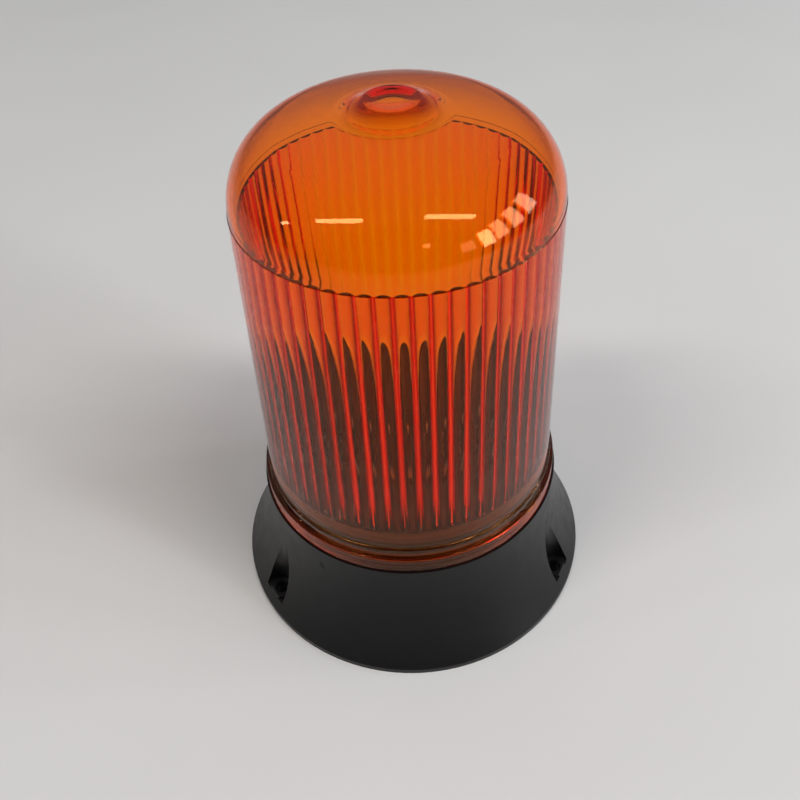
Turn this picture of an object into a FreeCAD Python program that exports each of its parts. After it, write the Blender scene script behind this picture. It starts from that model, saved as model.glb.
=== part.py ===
import FreeCAD, Part
import math
import os

# Rotating beacon: a flared black base with three fixing pockets, an amber ribbed lens on a bayonet,
# and inside it a lamp with a geared reflector that turns round it.
# Millimetres, +Z up. The origin is the centre of the base's mounting face.

Vector = FreeCAD.Vector
ORIGIN = Vector(0, 0, 0)
UP = Vector(0, 0, 1)

# ---------------------------------------------------------------- clearances
running_fit = 0.05        # radial, a shaft that turns in its bore
seat_fit = 0.08           # radial, a part seated in another of its own body
body_gap = 0.3            # between pieces that move against each other

# ---------------------------------------------------------------- base housing
base_r = 74.0             # rim at the mounting face
rim_height = 2.5          # straight edge of the rim
shoulder_margin = 0.65    # of the shoulder round the lens foot
shoulder_z = 50.8         # height of the shoulder and of the deck
flare_sag = 3.1           # how far the flare is hollow against a straight cone
base_wall = 2.6
deck_thickness = 2.8
spigot_gap = 3.35         # between the collar inside the lens and the lens foot
spigot_height = 9.7       # above the shoulder

pocket_count = 3
pocket_start = -28.0      # degrees, first fixing pocket
fixing_inset = 6.5        # of the fixing holes from the rim
fixing_hole_r = 2.75
pocket_width = 13.0
pocket_reach = 5.2        # from the fixing hole inwards to the pocket's round end
pocket_floor_z = 7.0
pocket_boss_r = 4.9       # raised ring round the fixing hole
pocket_boss_height = 1.2

gusset_count = 9
gusset_turn = 20.0        # degrees from the first pocket to the first gusset
gusset_thickness = 1.8
gusset_height = 14.0
gusset_depth = 11.0

# ---------------------------------------------------------------- bayonet
bayonet_count = 3
bayonet_start = 78.0      # degrees, first lug's clockwise end
bayonet_lug_angle = 14.0
bayonet_ledge_angle = 17.0
bayonet_lug_height = 2.8
bayonet_ledge_height = 2.2
bayonet_overlap = 1.6     # how far a lug reaches under its ledge
bayonet_stop_angle = 3.0
bayonet_rest_angle = 1.0  # between the lug and the stop when the lens is locked

# ---------------------------------------------------------------- underside
gasket_thickness = 1.6
gasket_land = 5.5         # of the gasket inside the fixing columns
gasket_edge_gap = 0.8
plate_thickness = 2.5
plate_edge_gap = 0.5
plate_post_r = 3.6
plate_post_inset = 14.0   # of the plate's screws from the rim
plate_post_start = 32.0
plate_screw_length = 9.0
plate_rib_count = 6
plate_rib_height = 3.0
plate_rib_thickness = 2.0
plate_rib_start = 14.0    # from the axis
plate_rib_gap = 16.0      # from a rib's end to the screw circle
grommet_y = 27.0
grommet_hole_r = 6.5
grommet_bore_r = 3.6
grommet_flange = 2.2
grommet_lip = 1.4

# ---------------------------------------------------------------- lens
lens_foot_r = 59.65
lens_foot_height = 6.3    # lower step
lens_foot_draft = 0.35
lens_collar_step = 1.65   # the upper step stands this far inside the lower one
lens_collar_height = 4.7
lens_wall = 2.2
lens_wall_step = 0.8      # the wall's foot stands this far inside the collar
lens_taper = 3.1          # the wall draws in by this much up to the moulding line
lens_foot_wall = 3.3
lens_seam_z = 176.9       # moulding line where the dome starts
lens_seam_step = 0.25
dome_shoulder_radius = 23.8
dome_crown_radius = 125.0
boss_flare_r = 15.3
boss_disc_r = 9.0
boss_height = 2.9         # above the crown
boss_dish_r = 6.6
boss_dish_depth = 0.7
boss_edge = 0.5

rib_count = 63
rib_width = 3.1           # at the wall
rib_crest_width = 1.7
rib_height = 1.5
rib_low_z = 70.0
rib_top_gap = 1.4         # below the moulding line
rib_root = 0.4            # how far a rib is rooted in the wall

seal_width = 3.0
seal_height = 1.2
seal_groove_depth = 1.0

# ---------------------------------------------------------------- chassis and lamp
chassis_gap = 1.4         # to the collar
chassis_thickness = 1.5
chassis_screw_inset = 6.0
chassis_screw_length = 8.0
chassis_screw_start = 107.0
screw_r = 1.4
screw_head_r = 2.8
screw_head_height = 1.8
boss_margin = 0.6         # of a screw boss round the screw's head
pilot_spare = 0.5         # of a pilot hole past the screw's end
chassis_boss_depth = 6.0

post_flange_r = 14.0
post_flange_thickness = 1.5
post_r = 10.5
post_top_z = 72.0
post_socket_r = 8.35
post_socket_floor_z = 57.0
post_wire_r = 4.0
circlip_thickness = 1.0
circlip_groove = 0.55
circlip_width = 2.4
holder_wall = 0.6
holder_flange_r = 9.8
holder_flange_thickness = 1.0
insulator_thickness = 2.5
bulb_cap_height = 14.5
bulb_contact_r = 2.2
bulb_contact_height = 0.8
bulb_neck_r = 6.9
bulb_r = 9.0
bulb_wall = 0.8
bulb_centre_rise = 0.3     # of the glass ball above the filament
filament_z = 84.5

# ---------------------------------------------------------------- gear train
gear_module = 0.9
pressure_angle = 25.0
tooth_addendum = 0.9      # in modules
tooth_dedendum = 1.2
tooth_backlash = 0.12     # taken off each tooth at the pitch circle
ring_teeth = 52
idler_small_teeth = 12
idler_big_teeth = 30
pinion_teeth = 12
idler_angle = 150.0
motor_angle = 185.4
big_gear_lift = 0.8       # above the chassis
big_gear_thickness = 2.2
gear_stage_gap = 0.7
ring_gear_thickness = 3.0
ring_hub_r = 14.0
ring_hub_rise = 2.0
ring_hole_r = 3.0
ring_hole_circle = 18.7
bush_wall = 2.0
bush_rise = 4.0           # above the ring gear's face
idler_pin_r = 1.5
idler_clip_r = 3.2
idler_clip_thickness = 0.7

# ---------------------------------------------------------------- motor
motor_r = 12.0
motor_length = 28.0
motor_nose_r = 3.4
motor_nose_height = 1.4
motor_nose_hole_r = 5.0
motor_bell_height = 3.6
motor_shaft_r = 1.15
motor_shaft_inside = 9.0
clamp_thickness = 1.2
clamp_width = 12.0
clamp_side_gap = 0.6
clamp_foot_length = 9.5
clamp_boss_depth = 6.0
clamp_screw_length = 7.0
pinion_length = 3.4
shaft_tip = 0.5

# ---------------------------------------------------------------- reflector
reflector_focus = 11.5
reflector_r = 25.0
reflector_wall = 1.2
reflector_lip = 1.3
reflector_low_gap = 0.5   # above the ring gear's hub
reflector_notch_r = 13.6  # clears the lamp post
reflector_pad_r = 6.0
reflector_pad_height = 1.5
bracket_width = 12.0
bracket_thickness = 1.5
bracket_rise = 8.0        # above the reflector's axis
bracket_foot = 5.7
bracket_screw_spacing = 6.4
counterweight_gap = 0.6   # round the hub
counterweight_width = 7.0
counterweight_height = 6.0
counterweight_angle = 84.0

# ---------------------------------------------------------------- electrics
board_centre_x = 22.0
board_centre_y = -22.0
board_length = 34.0
board_width = 24.0
board_thickness = 1.6
board_drop = 7.0          # of its standoffs under the deck
board_hole_inset = 4.0
board_corner = 1.5
board_screw_length = 7.0
terminal_length = 11.0
terminal_depth = 8.0
terminal_height = 9.5
terminal_ways = 2
terminal_mouth = 4.0
terminal_start = 8.0      # from the end of the board
terminal_edge = 1.0       # from the side of the board
capacitor_r = 4.0
capacitor_height = 11.0
capacitor_end = 9.0       # of its centre from the end of the board
capacitor_side = 5.0      # of its centre from the middle of the board

# ---------------------------------------------------------------- derived levels
deck_z = shoulder_z
lens_foot_in_r = lens_foot_r - lens_foot_wall
lens_collar_r = lens_foot_r - lens_collar_step
lens_wall_foot_r = lens_collar_r - lens_wall_step
lens_wall_top_r = lens_wall_foot_r - lens_taper
shoulder_r = lens_foot_r + shoulder_margin
spigot_r = lens_foot_in_r - spigot_gap
deck_low_z = deck_z - deck_thickness
spigot_top_z = shoulder_z + spigot_height
spigot_in_r = spigot_r - base_wall
chassis_r = spigot_in_r - chassis_gap
chassis_screw_circle = chassis_r - chassis_screw_inset
plate_post_circle = base_r - plate_post_inset
lens_low_z = shoulder_z + 0.5
collar_low_z = lens_low_z + lens_foot_height
collar_top_z = collar_low_z + lens_collar_height
plate_low_z = gasket_thickness
plate_top_z = plate_low_z + plate_thickness
chassis_top_z = deck_z + chassis_thickness
flange_top_z = chassis_top_z + post_flange_thickness
big_gear_z = chassis_top_z + big_gear_lift
small_gear_z = big_gear_z + big_gear_thickness + gear_stage_gap
ring_top_z = small_gear_z + ring_gear_thickness
hub_top_z = ring_top_z + ring_hub_rise
bush_in_r = post_r + running_fit
bush_out_r = bush_in_r + bush_wall
bush_top_z = ring_top_z + bush_rise
bush_low_z = flange_top_z + body_gap
holder_r = post_socket_r - seat_fit
holder_in_r = holder_r - holder_wall
cap_r = holder_in_r - seat_fit
insulator_top_z = post_socket_floor_z + insulator_thickness
cap_low_z = insulator_top_z + bulb_contact_height
cap_top_z = cap_low_z + bulb_cap_height
fixing_r = base_r - fixing_inset
column_r = pocket_width / 2 + base_wall
cavity_r = base_r - base_wall
pocket_end_r = fixing_r - pocket_reach + pocket_width / 2
counterweight_inner_r = ring_hub_r + counterweight_gap
counterweight_outer_r = counterweight_inner_r + counterweight_width
motor_top_z = deck_low_z
motor_low_z = motor_top_z - motor_length
bell_low_z = motor_low_z - motor_bell_height
clamp_foot_z = deck_low_z - clamp_boss_depth
board_top_z = deck_low_z - board_drop
board_low_z = board_top_z - board_thickness
seal_r = (spigot_r + lens_foot_r) / 2 + 1.0


def polar(radius, degrees, z=0.0):
    angle = math.radians(degrees)
    return Vector(radius * math.cos(angle), radius * math.sin(angle), z)


def evenly(count, start):
    return [start + 360.0 * i / count for i in range(count)]


def turned(points):
    """Solid of revolution about Z of a closed outline of (radius, height) corners."""
    corners = [Vector(r, 0, z) for r, z in points]
    face = Part.Face(Part.makePolygon(corners + corners[:1]))
    return face.revolve(ORIGIN, UP, 360)


def ring(inner_r, outer_r, low_z, high_z, centre=ORIGIN):
    """Flat ring or sleeve about a vertical axis through centre."""
    body = turned([(inner_r, low_z), (outer_r, low_z), (outer_r, high_z), (inner_r, high_z)])
    body.translate(Vector(centre.x, centre.y, 0))
    return body


def rod(radius, low_z, high_z, centre=ORIGIN):
    """Vertical cylinder between two heights."""
    return Part.makeCylinder(radius, high_z - low_z, Vector(centre.x, centre.y, low_z))


def block(x0, x1, y0, y1, z0, z1):
    return Part.makeBox(x1 - x0, y1 - y0, z1 - z0, Vector(x0, y0, z0))


def turned_to(shape, degrees, centre=ORIGIN):
    copy = shape.copy()
    copy.rotate(centre, UP, degrees)
    return copy


def sector(inner_r, outer_r, low_z, high_z, start, span):
    """Part of a ring, from start and counter-clockwise over span degrees."""
    low_inner = polar(inner_r, start, low_z)
    low_outer = polar(outer_r, start, low_z)
    face = Part.Face(Part.makePolygon([
        low_inner, low_outer,
        low_outer + Vector(0, 0, high_z - low_z), low_inner + Vector(0, 0, high_z - low_z),
        low_inner]))
    return face.revolve(ORIGIN, UP, span)


def screw(seat, length, pointing=-1):
    """Pan-head screw with a cross recess; its head's underside is at seat."""
    shank = Part.makeCylinder(screw_r, length)
    head = Part.makeCylinder(screw_head_r, screw_head_height, ORIGIN, Vector(0, 0, -1))
    rim = [edge for edge in head.Edges if abs(edge.BoundBox.ZMax + screw_head_height) < 1e-6]
    head = head.makeChamfer(screw_head_height * 0.4, rim)
    slot_long = screw_head_r * 1.1
    slot_wide = screw_head_r * 0.24
    slot = block(-slot_long / 2, slot_long / 2, -slot_wide / 2, slot_wide / 2,
                 -screw_head_height - 0.1, -screw_head_height * 0.5)
    head = head.cut(slot).cut(turned_to(slot, 90))
    body = shank.fuse(head).removeSplitter()
    if pointing < 0:
        body.rotate(ORIGIN, Vector(1, 0, 0), 180)
    body.translate(seat)
    return body


# ---------------------------------------------------------------- base

def flare_edges(outset):
    """Rim, flare and shoulder edge of the skirt, moved inwards by outset."""
    foot = Vector(base_r - outset, 0, rim_height)
    top = Vector(shoulder_r - outset, 0, shoulder_z)
    middle = (foot + top) * 0.5
    across = (top - foot).normalize()
    middle += Vector(-across.z, 0, across.x) * flare_sag
    return foot, Part.Arc(foot, middle, top).toShape(), top


def flare_radius(height, outset):
    """Radius of the flare at a height, moved inwards by outset."""
    level = Part.makeLine(Vector(0, 0, height), Vector(base_r, 0, height))
    return flare_edges(outset)[1].distToShape(level)[1][0][0].x


def base_envelope():
    """Solid outside of the base: skirt, shoulder and collar, with nothing hollowed."""
    foot, flare, top = flare_edges(0)
    corners = [
        top, Vector(spigot_r, 0, shoulder_z), Vector(spigot_r, 0, spigot_top_z),
        Vector(spigot_in_r, 0, spigot_top_z), Vector(spigot_in_r, 0, deck_z),
        Vector(0, 0, deck_z), ORIGIN, Vector(base_r, 0, 0), foot]
    wire = Part.Wire([flare] + Part.makePolygon(corners).Edges)
    return Part.Face(wire).revolve(ORIGIN, UP, 360)


def base_hollow():
    foot, flare, top = flare_edges(base_wall)
    low = -1.0
    corners = [top, Vector(top.x, 0, deck_low_z), Vector(0, 0, deck_low_z), Vector(0, 0, low),
               Vector(foot.x, 0, low), foot]
    wire = Part.Wire([flare] + Part.makePolygon(corners).Edges)
    hollow = Part.Face(wire).revolve(ORIGIN, UP, 360)
    above_deck = rod(base_r, deck_low_z, shoulder_z + 1)
    return hollow.cut(above_deck)


def pocket_shape(half_width, low_z, high_z):
    """Upright slot round a fixing hole, open towards the rim, at angle zero."""
    round_end = rod(half_width, low_z, high_z, Vector(pocket_end_r, 0, 0))
    mouth = block(pocket_end_r, base_r + 5, -half_width, half_width, low_z, high_z)
    return round_end.fuse(mouth)


def gusset():
    """Triangular web between the skirt and the deck, at angle zero."""
    outer = shoulder_r
    corners = [
        Vector(outer - gusset_depth, -gusset_thickness / 2, deck_low_z + 1),
        Vector(outer + 4, -gusset_thickness / 2, deck_low_z + 1),
        Vector(outer + 4, -gusset_thickness / 2, deck_low_z - gusset_height)]
    web = Part.Face(Part.makePolygon(corners + corners[:1]))
    return web.extrude(Vector(0, gusset_thickness, 0))


def base_housing():
    envelope = base_envelope()
    shell = envelope.cut(base_hollow())

    inside = []
    for angle in evenly(pocket_count, pocket_start):
        inside.append(turned_to(pocket_shape(column_r, 0, deck_z), angle))
    for angle in evenly(3, plate_post_start):
        post = rod(plate_post_r, plate_top_z, deck_z, polar(plate_post_circle, angle))
        inside.append(post)
    for angle in evenly(3, chassis_screw_start):
        centre = polar(chassis_screw_circle, angle)
        inside.append(rod(screw_head_r + boss_margin, deck_low_z - chassis_boss_depth, deck_z, centre))
    for seat in clamp_screw_places():
        inside.append(rod(screw_head_r + boss_margin, clamp_foot_z, deck_z, seat))
    for seat in board_screw_places():
        inside.append(rod(screw_head_r + boss_margin, board_top_z, deck_z, seat))
    for angle in evenly(gusset_count, pocket_start + gusset_turn):
        inside.append(turned_to(gusset(), angle))
    shell = shell.fuse([piece.common(envelope) for piece in inside])

    cuts = []
    for angle in evenly(pocket_count, pocket_start):
        room = pocket_shape(pocket_width / 2, pocket_floor_z, spigot_top_z)
        hole_boss = rod(pocket_boss_r, pocket_floor_z, pocket_floor_z + pocket_boss_height,
                        Vector(fixing_r, 0, 0))
        cuts.append(turned_to(room.cut(hole_boss), angle))
        cuts.append(rod(fixing_hole_r, -1, pocket_floor_z + 3, polar(fixing_r, angle)))
    for angle in evenly(3, plate_post_start):
        cuts.append(pilot_hole(polar(plate_post_circle, angle), plate_top_z, plate_screw_length))
    for angle in evenly(3, chassis_screw_start):
        centre = polar(chassis_screw_circle, angle)
        low_z = chassis_top_z - chassis_screw_length - 1
        cuts.append(pilot_hole(centre, low_z, chassis_screw_length + 1))
    for seat in clamp_screw_places():
        cuts.append(pilot_hole(seat, clamp_foot_z, clamp_screw_length - clamp_thickness + pilot_spare))
    for seat in board_screw_places():
        cuts.append(pilot_hole(seat, board_top_z, board_screw_length - board_thickness + pilot_spare))
    cuts.append(rod(motor_nose_hole_r, deck_low_z - 1, deck_z + 1, motor_centre()))
    cuts.append(rod(post_wire_r + 1, deck_low_z - 1, deck_z + 1))
    cuts.append(ring(seal_r - seal_width / 2 - seat_fit, seal_r + seal_width / 2 + seat_fit,
                     shoulder_z - seal_groove_depth, shoulder_z + 1))
    shell = shell.cut(cuts)

    ledges = []
    ledge_low_z = lug_top_z() + body_gap
    for angle in evenly(bayonet_count, bayonet_start):
        start = angle - bayonet_rest_angle
        ledges.append(sector(spigot_r - 0.5, ledge_r(), ledge_low_z,
                             ledge_low_z + bayonet_ledge_height, start, bayonet_ledge_angle))
        ledges.append(sector(spigot_r - 0.5, ledge_r(), shoulder_z,
                             ledge_low_z + bayonet_ledge_height,
                             start - bayonet_stop_angle, bayonet_stop_angle))
    return shell.fuse(ledges).removeSplitter()


def pilot_hole(centre, low_z, depth):
    return rod(screw_r + seat_fit, low_z - 0.01, low_z + depth, centre)


def lug_top_z():
    return lens_low_z + 2.9 + bayonet_lug_height


def ledge_r():
    return spigot_r + body_gap * 2 + bayonet_overlap


def column_cuts(high_z):
    """Room round the three fixing columns, for what lies under the housing."""
    room = pocket_shape(column_r + plate_edge_gap, -1, high_z)
    return [turned_to(room, angle) for angle in evenly(pocket_count, pocket_start)]


def base_plate():
    plate_r = flare_radius(plate_top_z, base_wall) - plate_edge_gap
    plate = rod(plate_r, plate_low_z, plate_top_z)
    rib_top_z = plate_top_z + plate_rib_height
    for angle in evenly(plate_rib_count, 2):
        rib = block(plate_rib_start, plate_post_circle - plate_rib_gap,
                    -plate_rib_thickness / 2, plate_rib_thickness / 2,
                    plate_top_z - 0.5, rib_top_z)
        plate = plate.fuse(turned_to(rib, angle))
    grommet = Vector(0, grommet_y, 0)
    cuts = column_cuts(rib_top_z + 1)
    for angle in evenly(3, plate_post_start):
        cuts.append(pilot_hole(polar(plate_post_circle, angle), plate_low_z, plate_thickness + 1))
    cuts.append(rod(grommet_hole_r + grommet_flange + 1, plate_top_z, rib_top_z + 1, grommet))
    cuts.append(rod(grommet_hole_r, 0, plate_top_z + 1, grommet))
    return plate.cut(cuts).removeSplitter()


def base_gasket():
    inner_r = fixing_r - column_r - gasket_land
    gasket = ring(inner_r, cavity_r - plate_edge_gap - gasket_edge_gap, 0, gasket_thickness)
    cuts = column_cuts(gasket_thickness + 1)
    for angle in evenly(3, plate_post_start):
        cuts.append(rod(screw_head_r + 1, -1, gasket_thickness + 1,
                        polar(plate_post_circle, angle)))
    return gasket.cut(cuts)


def cable_grommet():
    """Rubber grommet in the base plate, with a tapered sleeve inside."""
    outline = [
        (grommet_bore_r, plate_low_z - grommet_lip),
        (grommet_hole_r + grommet_flange, plate_low_z - grommet_lip),
        (grommet_hole_r + grommet_flange, plate_low_z),
        (grommet_hole_r - seat_fit, plate_low_z),
        (grommet_hole_r - seat_fit, plate_top_z),
        (grommet_hole_r + grommet_flange, plate_top_z),
        (grommet_hole_r + grommet_flange * 0.7, plate_top_z + grommet_lip),
        (grommet_bore_r + 1.2, plate_top_z + grommet_lip * 5),
        (grommet_bore_r, plate_top_z + grommet_lip * 5)]
    body = turned(outline)
    body.translate(Vector(0, grommet_y, 0))
    return body


def lens_seal():
    low_z = shoulder_z - seal_groove_depth
    inner = seal_r - seal_width / 2
    outer = seal_r + seal_width / 2
    return ring(inner, outer, low_z, low_z + seal_height)


# ---------------------------------------------------------------- lens

def dome_centres():
    """Centres of the shoulder arc and the crown arc, which meet at a tangent."""
    shoulder_x = lens_wall_top_r - lens_seam_step - dome_shoulder_radius
    reach = dome_crown_radius - dome_shoulder_radius
    crown_z = lens_seam_z - math.sqrt(reach ** 2 - shoulder_x ** 2)
    return Vector(shoulder_x, 0, lens_seam_z), Vector(0, 0, crown_z)


def crown_height(radius, inset=0.0):
    centre = dome_centres()[1]
    return centre.z + math.sqrt((dome_crown_radius - inset) ** 2 - radius ** 2)


def dome_edges(inset, crown_end_r):
    """Shoulder and crown arcs from the seam up to a radius near the axis."""
    shoulder, crown = dome_centres()
    small = dome_shoulder_radius - inset
    large = dome_crown_radius - inset
    meet_direction = (shoulder - crown).normalize()
    seam = Vector(shoulder.x + small, 0, lens_seam_z)
    meet = crown + meet_direction * large
    half_way = math.atan2(meet_direction.z, meet_direction.x) / 2
    middle = shoulder + Vector(math.cos(half_way), 0, math.sin(half_way)) * small
    end = Vector(crown_end_r, 0, crown_height(crown_end_r, inset))
    crown_middle_r = (meet.x + crown_end_r) / 2
    crown_middle = Vector(crown_middle_r, 0, crown_height(crown_middle_r, inset))
    return seam, [Part.Arc(seam, middle, meet).toShape(),
                  Part.Arc(meet, crown_middle, end).toShape()], end


def boss_edges(start):
    """Hollow flare, edge and shallow dish of the boss on the crown."""
    top_z = crown_height(0) + boss_height
    edge = Vector(boss_disc_r, 0, top_z - boss_edge)
    chord_middle = (start + edge) * 0.5
    flare_middle = chord_middle + Vector(-0.9, 0, -0.75)
    rim_out = Vector(boss_disc_r - boss_edge, 0, top_z)
    rim_in = Vector(boss_dish_r, 0, top_z)
    dish = Vector(0, 0, top_z - boss_dish_depth)
    dish_radius = (boss_dish_r ** 2 + boss_dish_depth ** 2) / (2 * boss_dish_depth)
    half_r = boss_dish_r / 2
    half_rise = dish_radius - math.sqrt(dish_radius ** 2 - half_r ** 2)
    dish_middle = Vector(half_r, 0, dish.z + half_rise)
    return [Part.Arc(start, flare_middle, edge).toShape(),
            Part.makeLine(edge, rim_out),
            Part.makeLine(rim_out, rim_in),
            Part.Arc(rim_in, dish_middle, dish).toShape()], dish


def wall_inner_points():
    """Foot and top of the straight inner wall, as (radius, height)."""
    low = Vector(lens_wall_foot_r - lens_wall, 0, collar_top_z + 0.5)
    high = Vector(lens_wall_top_r - lens_seam_step - lens_wall, 0, lens_seam_z)
    return low, high


def lens_rib():
    """Internal rib at angle zero: square top, rounded lower end, sides drawn in to the crest."""
    low, high = wall_inner_points()
    along = (high - low).normalize()
    inwards = Vector(-along.z, 0, along.x)
    start = low + along * ((rib_low_z - low.z) / along.z)
    end = low + along * ((lens_seam_z - rib_top_gap - low.z) / along.z)

    def section(depth, width):
        half = width / 2
        side = Vector(0, half, 0)
        foot = start + inwards * depth + along * (rib_width / 2)
        head = end + inwards * depth
        tip = foot - along * half
        return Part.Wire([
            Part.Arc(foot - side, tip, foot + side).toShape(),
            Part.makeLine(foot + side, head + side),
            Part.makeLine(head + side, head - side),
            Part.makeLine(head - side, foot - side)])

    return Part.makeLoft([section(-rib_root, rib_width), section(rib_height, rib_crest_width)],
                         True, True)


def lens():
    seam, outer_dome, crown_end = dome_edges(0, boss_flare_r)
    inner_seam, inner_dome, inner_crown = dome_edges(lens_wall, 0)
    boss, dish = boss_edges(crown_end)
    wall_low, wall_high = wall_inner_points()
    foot_low = Vector(lens_foot_in_r, 0, lens_low_z)
    outside = [
        foot_low,
        Vector(lens_foot_r, 0, lens_low_z),
        Vector(lens_foot_r - lens_foot_draft, 0, collar_low_z),
        Vector(lens_collar_r, 0, collar_low_z + 0.3),
        Vector(lens_collar_r - 0.1, 0, collar_top_z - 0.3),
        Vector(lens_wall_foot_r, 0, collar_top_z),
        Vector(lens_wall_top_r, 0, lens_seam_z - lens_seam_step),
        seam]
    inside = [
        inner_seam, wall_low,
        Vector(lens_foot_in_r, 0, collar_top_z - 1.1), foot_low]
    edges = Part.makePolygon(outside).Edges + outer_dome + boss
    edges.append(Part.makeLine(dish, inner_crown))
    edges += [edge for edge in reversed(inner_dome)]
    edges += Part.makePolygon(inside).Edges
    shell = Part.Face(Part.Wire(Part.__sortEdges__(edges))).revolve(ORIGIN, UP, 360)

    added = []
    for angle in evenly(rib_count, 270 + 180.0 / rib_count):
        added.append(turned_to(lens_rib(), angle))
    for angle in evenly(bayonet_count, bayonet_start):
        added.append(sector(spigot_r + body_gap * 2, lens_foot_in_r + 0.5,
                            lug_top_z() - bayonet_lug_height, lug_top_z(),
                            angle, bayonet_lug_angle))
    return shell.fuse(added)


# ---------------------------------------------------------------- chassis and lamp

def chassis_plate():
    plate = rod(chassis_r, deck_z, chassis_top_z)
    cuts = [rod(post_wire_r + 1, deck_z - 1, chassis_top_z + 1),
            rod(motor_nose_hole_r, deck_z - 1, chassis_top_z + 1, motor_centre()),
            rod(idler_pin_r + seat_fit, deck_z - 1, chassis_top_z + 1, idler_centre())]
    for angle in evenly(3, chassis_screw_start):
        centre = polar(chassis_screw_circle, angle)
        cuts.append(rod(screw_r + seat_fit, deck_z - 1, chassis_top_z + 1, centre))
    return plate.cut(cuts)


def lamp_post():
    flange_low = chassis_top_z
    groove_z = circlip_low_z()
    groove_r = post_r - circlip_groove
    return turned([
        (post_wire_r, flange_low), (post_flange_r, flange_low), (post_flange_r, flange_top_z),
        (post_r, flange_top_z), (post_r, groove_z - 0.05), (groove_r, groove_z - 0.05),
        (groove_r, groove_z + circlip_thickness + 0.05),
        (post_r, groove_z + circlip_thickness + 0.05),
        (post_r, post_top_z), (post_socket_r, post_top_z),
        (post_socket_r, post_socket_floor_z), (post_wire_r, post_socket_floor_z)])


def circlip_low_z():
    return bush_top_z + body_gap


def post_circlip():
    """Open retaining ring in the post's groove."""
    inner = post_r - circlip_groove + seat_fit
    low_z = circlip_low_z()
    clip = ring(inner, inner + circlip_width, low_z, low_z + circlip_thickness)
    return clip.cut(block(0, inner + 5, -2.2, 2.2, low_z - 1, low_z + 3))


def lamp_holder():
    """Bayonet lamp socket: a thin shell with a flange that rests on the post."""
    shell = turned([
        (holder_in_r, insulator_top_z), (holder_r, insulator_top_z), (holder_r, post_top_z),
        (holder_flange_r, post_top_z), (holder_flange_r, post_top_z + holder_flange_thickness),
        (holder_in_r, post_top_z + holder_flange_thickness)])
    slots = block(-post_r, post_r, -1.1, 1.1, post_top_z - 5, post_top_z + 5)
    return shell.cut(slots)


def lamp_insulator():
    disc = rod(post_socket_r - seat_fit, post_socket_floor_z, insulator_top_z)
    wire_holes = [rod(0.9, post_socket_floor_z - 1, insulator_top_z + 1, Vector(x, 0, 0))
                  for x in (-5, 5)]
    return disc.cut(wire_holes)


def bulb_cap():
    shell = turned([
        (0, cap_low_z), (cap_r - 1.5, cap_low_z), (cap_r, cap_low_z + 2), (cap_r, cap_top_z),
        (bulb_neck_r - 1, cap_top_z), (0, cap_top_z)])
    contact = rod(bulb_contact_r, insulator_top_z, cap_low_z + 0.2)
    return shell.fuse(contact).removeSplitter()


def glass_outline(inset):
    """Half outline of the glass: a straight neck that runs into a ball."""
    neck_r = bulb_neck_r - inset
    ball_r = bulb_r - inset
    centre_z = filament_z + bulb_centre_rise
    join_z = centre_z - math.sqrt(ball_r ** 2 - neck_r ** 2)
    neck = Vector(neck_r, 0, cap_top_z)
    join = Vector(neck_r, 0, join_z)
    cheek = Vector(ball_r, 0, centre_z)
    top = Vector(0, 0, centre_z + ball_r)
    return neck, [Part.makeLine(neck, join), Part.Arc(join, cheek, top).toShape()], top


def bulb_glass():
    outer_start, outer, outer_top = glass_outline(0)
    inner_start, inner, inner_top = glass_outline(bulb_wall)
    edges = outer + inner
    edges.append(Part.makeLine(outer_top, inner_top))
    edges.append(Part.makeLine(inner_start, outer_start))
    face = Part.Face(Part.Wire(Part.__sortEdges__(edges)))
    return face.revolve(ORIGIN, UP, 360)


# ---------------------------------------------------------------- gears

def pitch_r(teeth):
    return gear_module * teeth / 2


def idler_centre():
    return polar(pitch_r(ring_teeth) + pitch_r(idler_small_teeth), idler_angle)


def motor_centre():
    """Where the motor's pinion meshes with the big idler wheel, inside the chassis."""
    idler_radius = pitch_r(ring_teeth) + pitch_r(idler_small_teeth)
    spread = pitch_r(idler_big_teeth) + pitch_r(pinion_teeth)
    turn = math.radians(motor_angle - idler_angle)
    inner = spread ** 2 - (idler_radius * math.sin(turn)) ** 2
    return polar(idler_radius * math.cos(turn) + math.sqrt(inner), motor_angle)


def heading(start, end):
    """Direction from one centre to another, in degrees."""
    return math.degrees(math.atan2(end.y - start.y, end.x - start.x))


def involute(angle):
    return math.tan(angle) - angle


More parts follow.
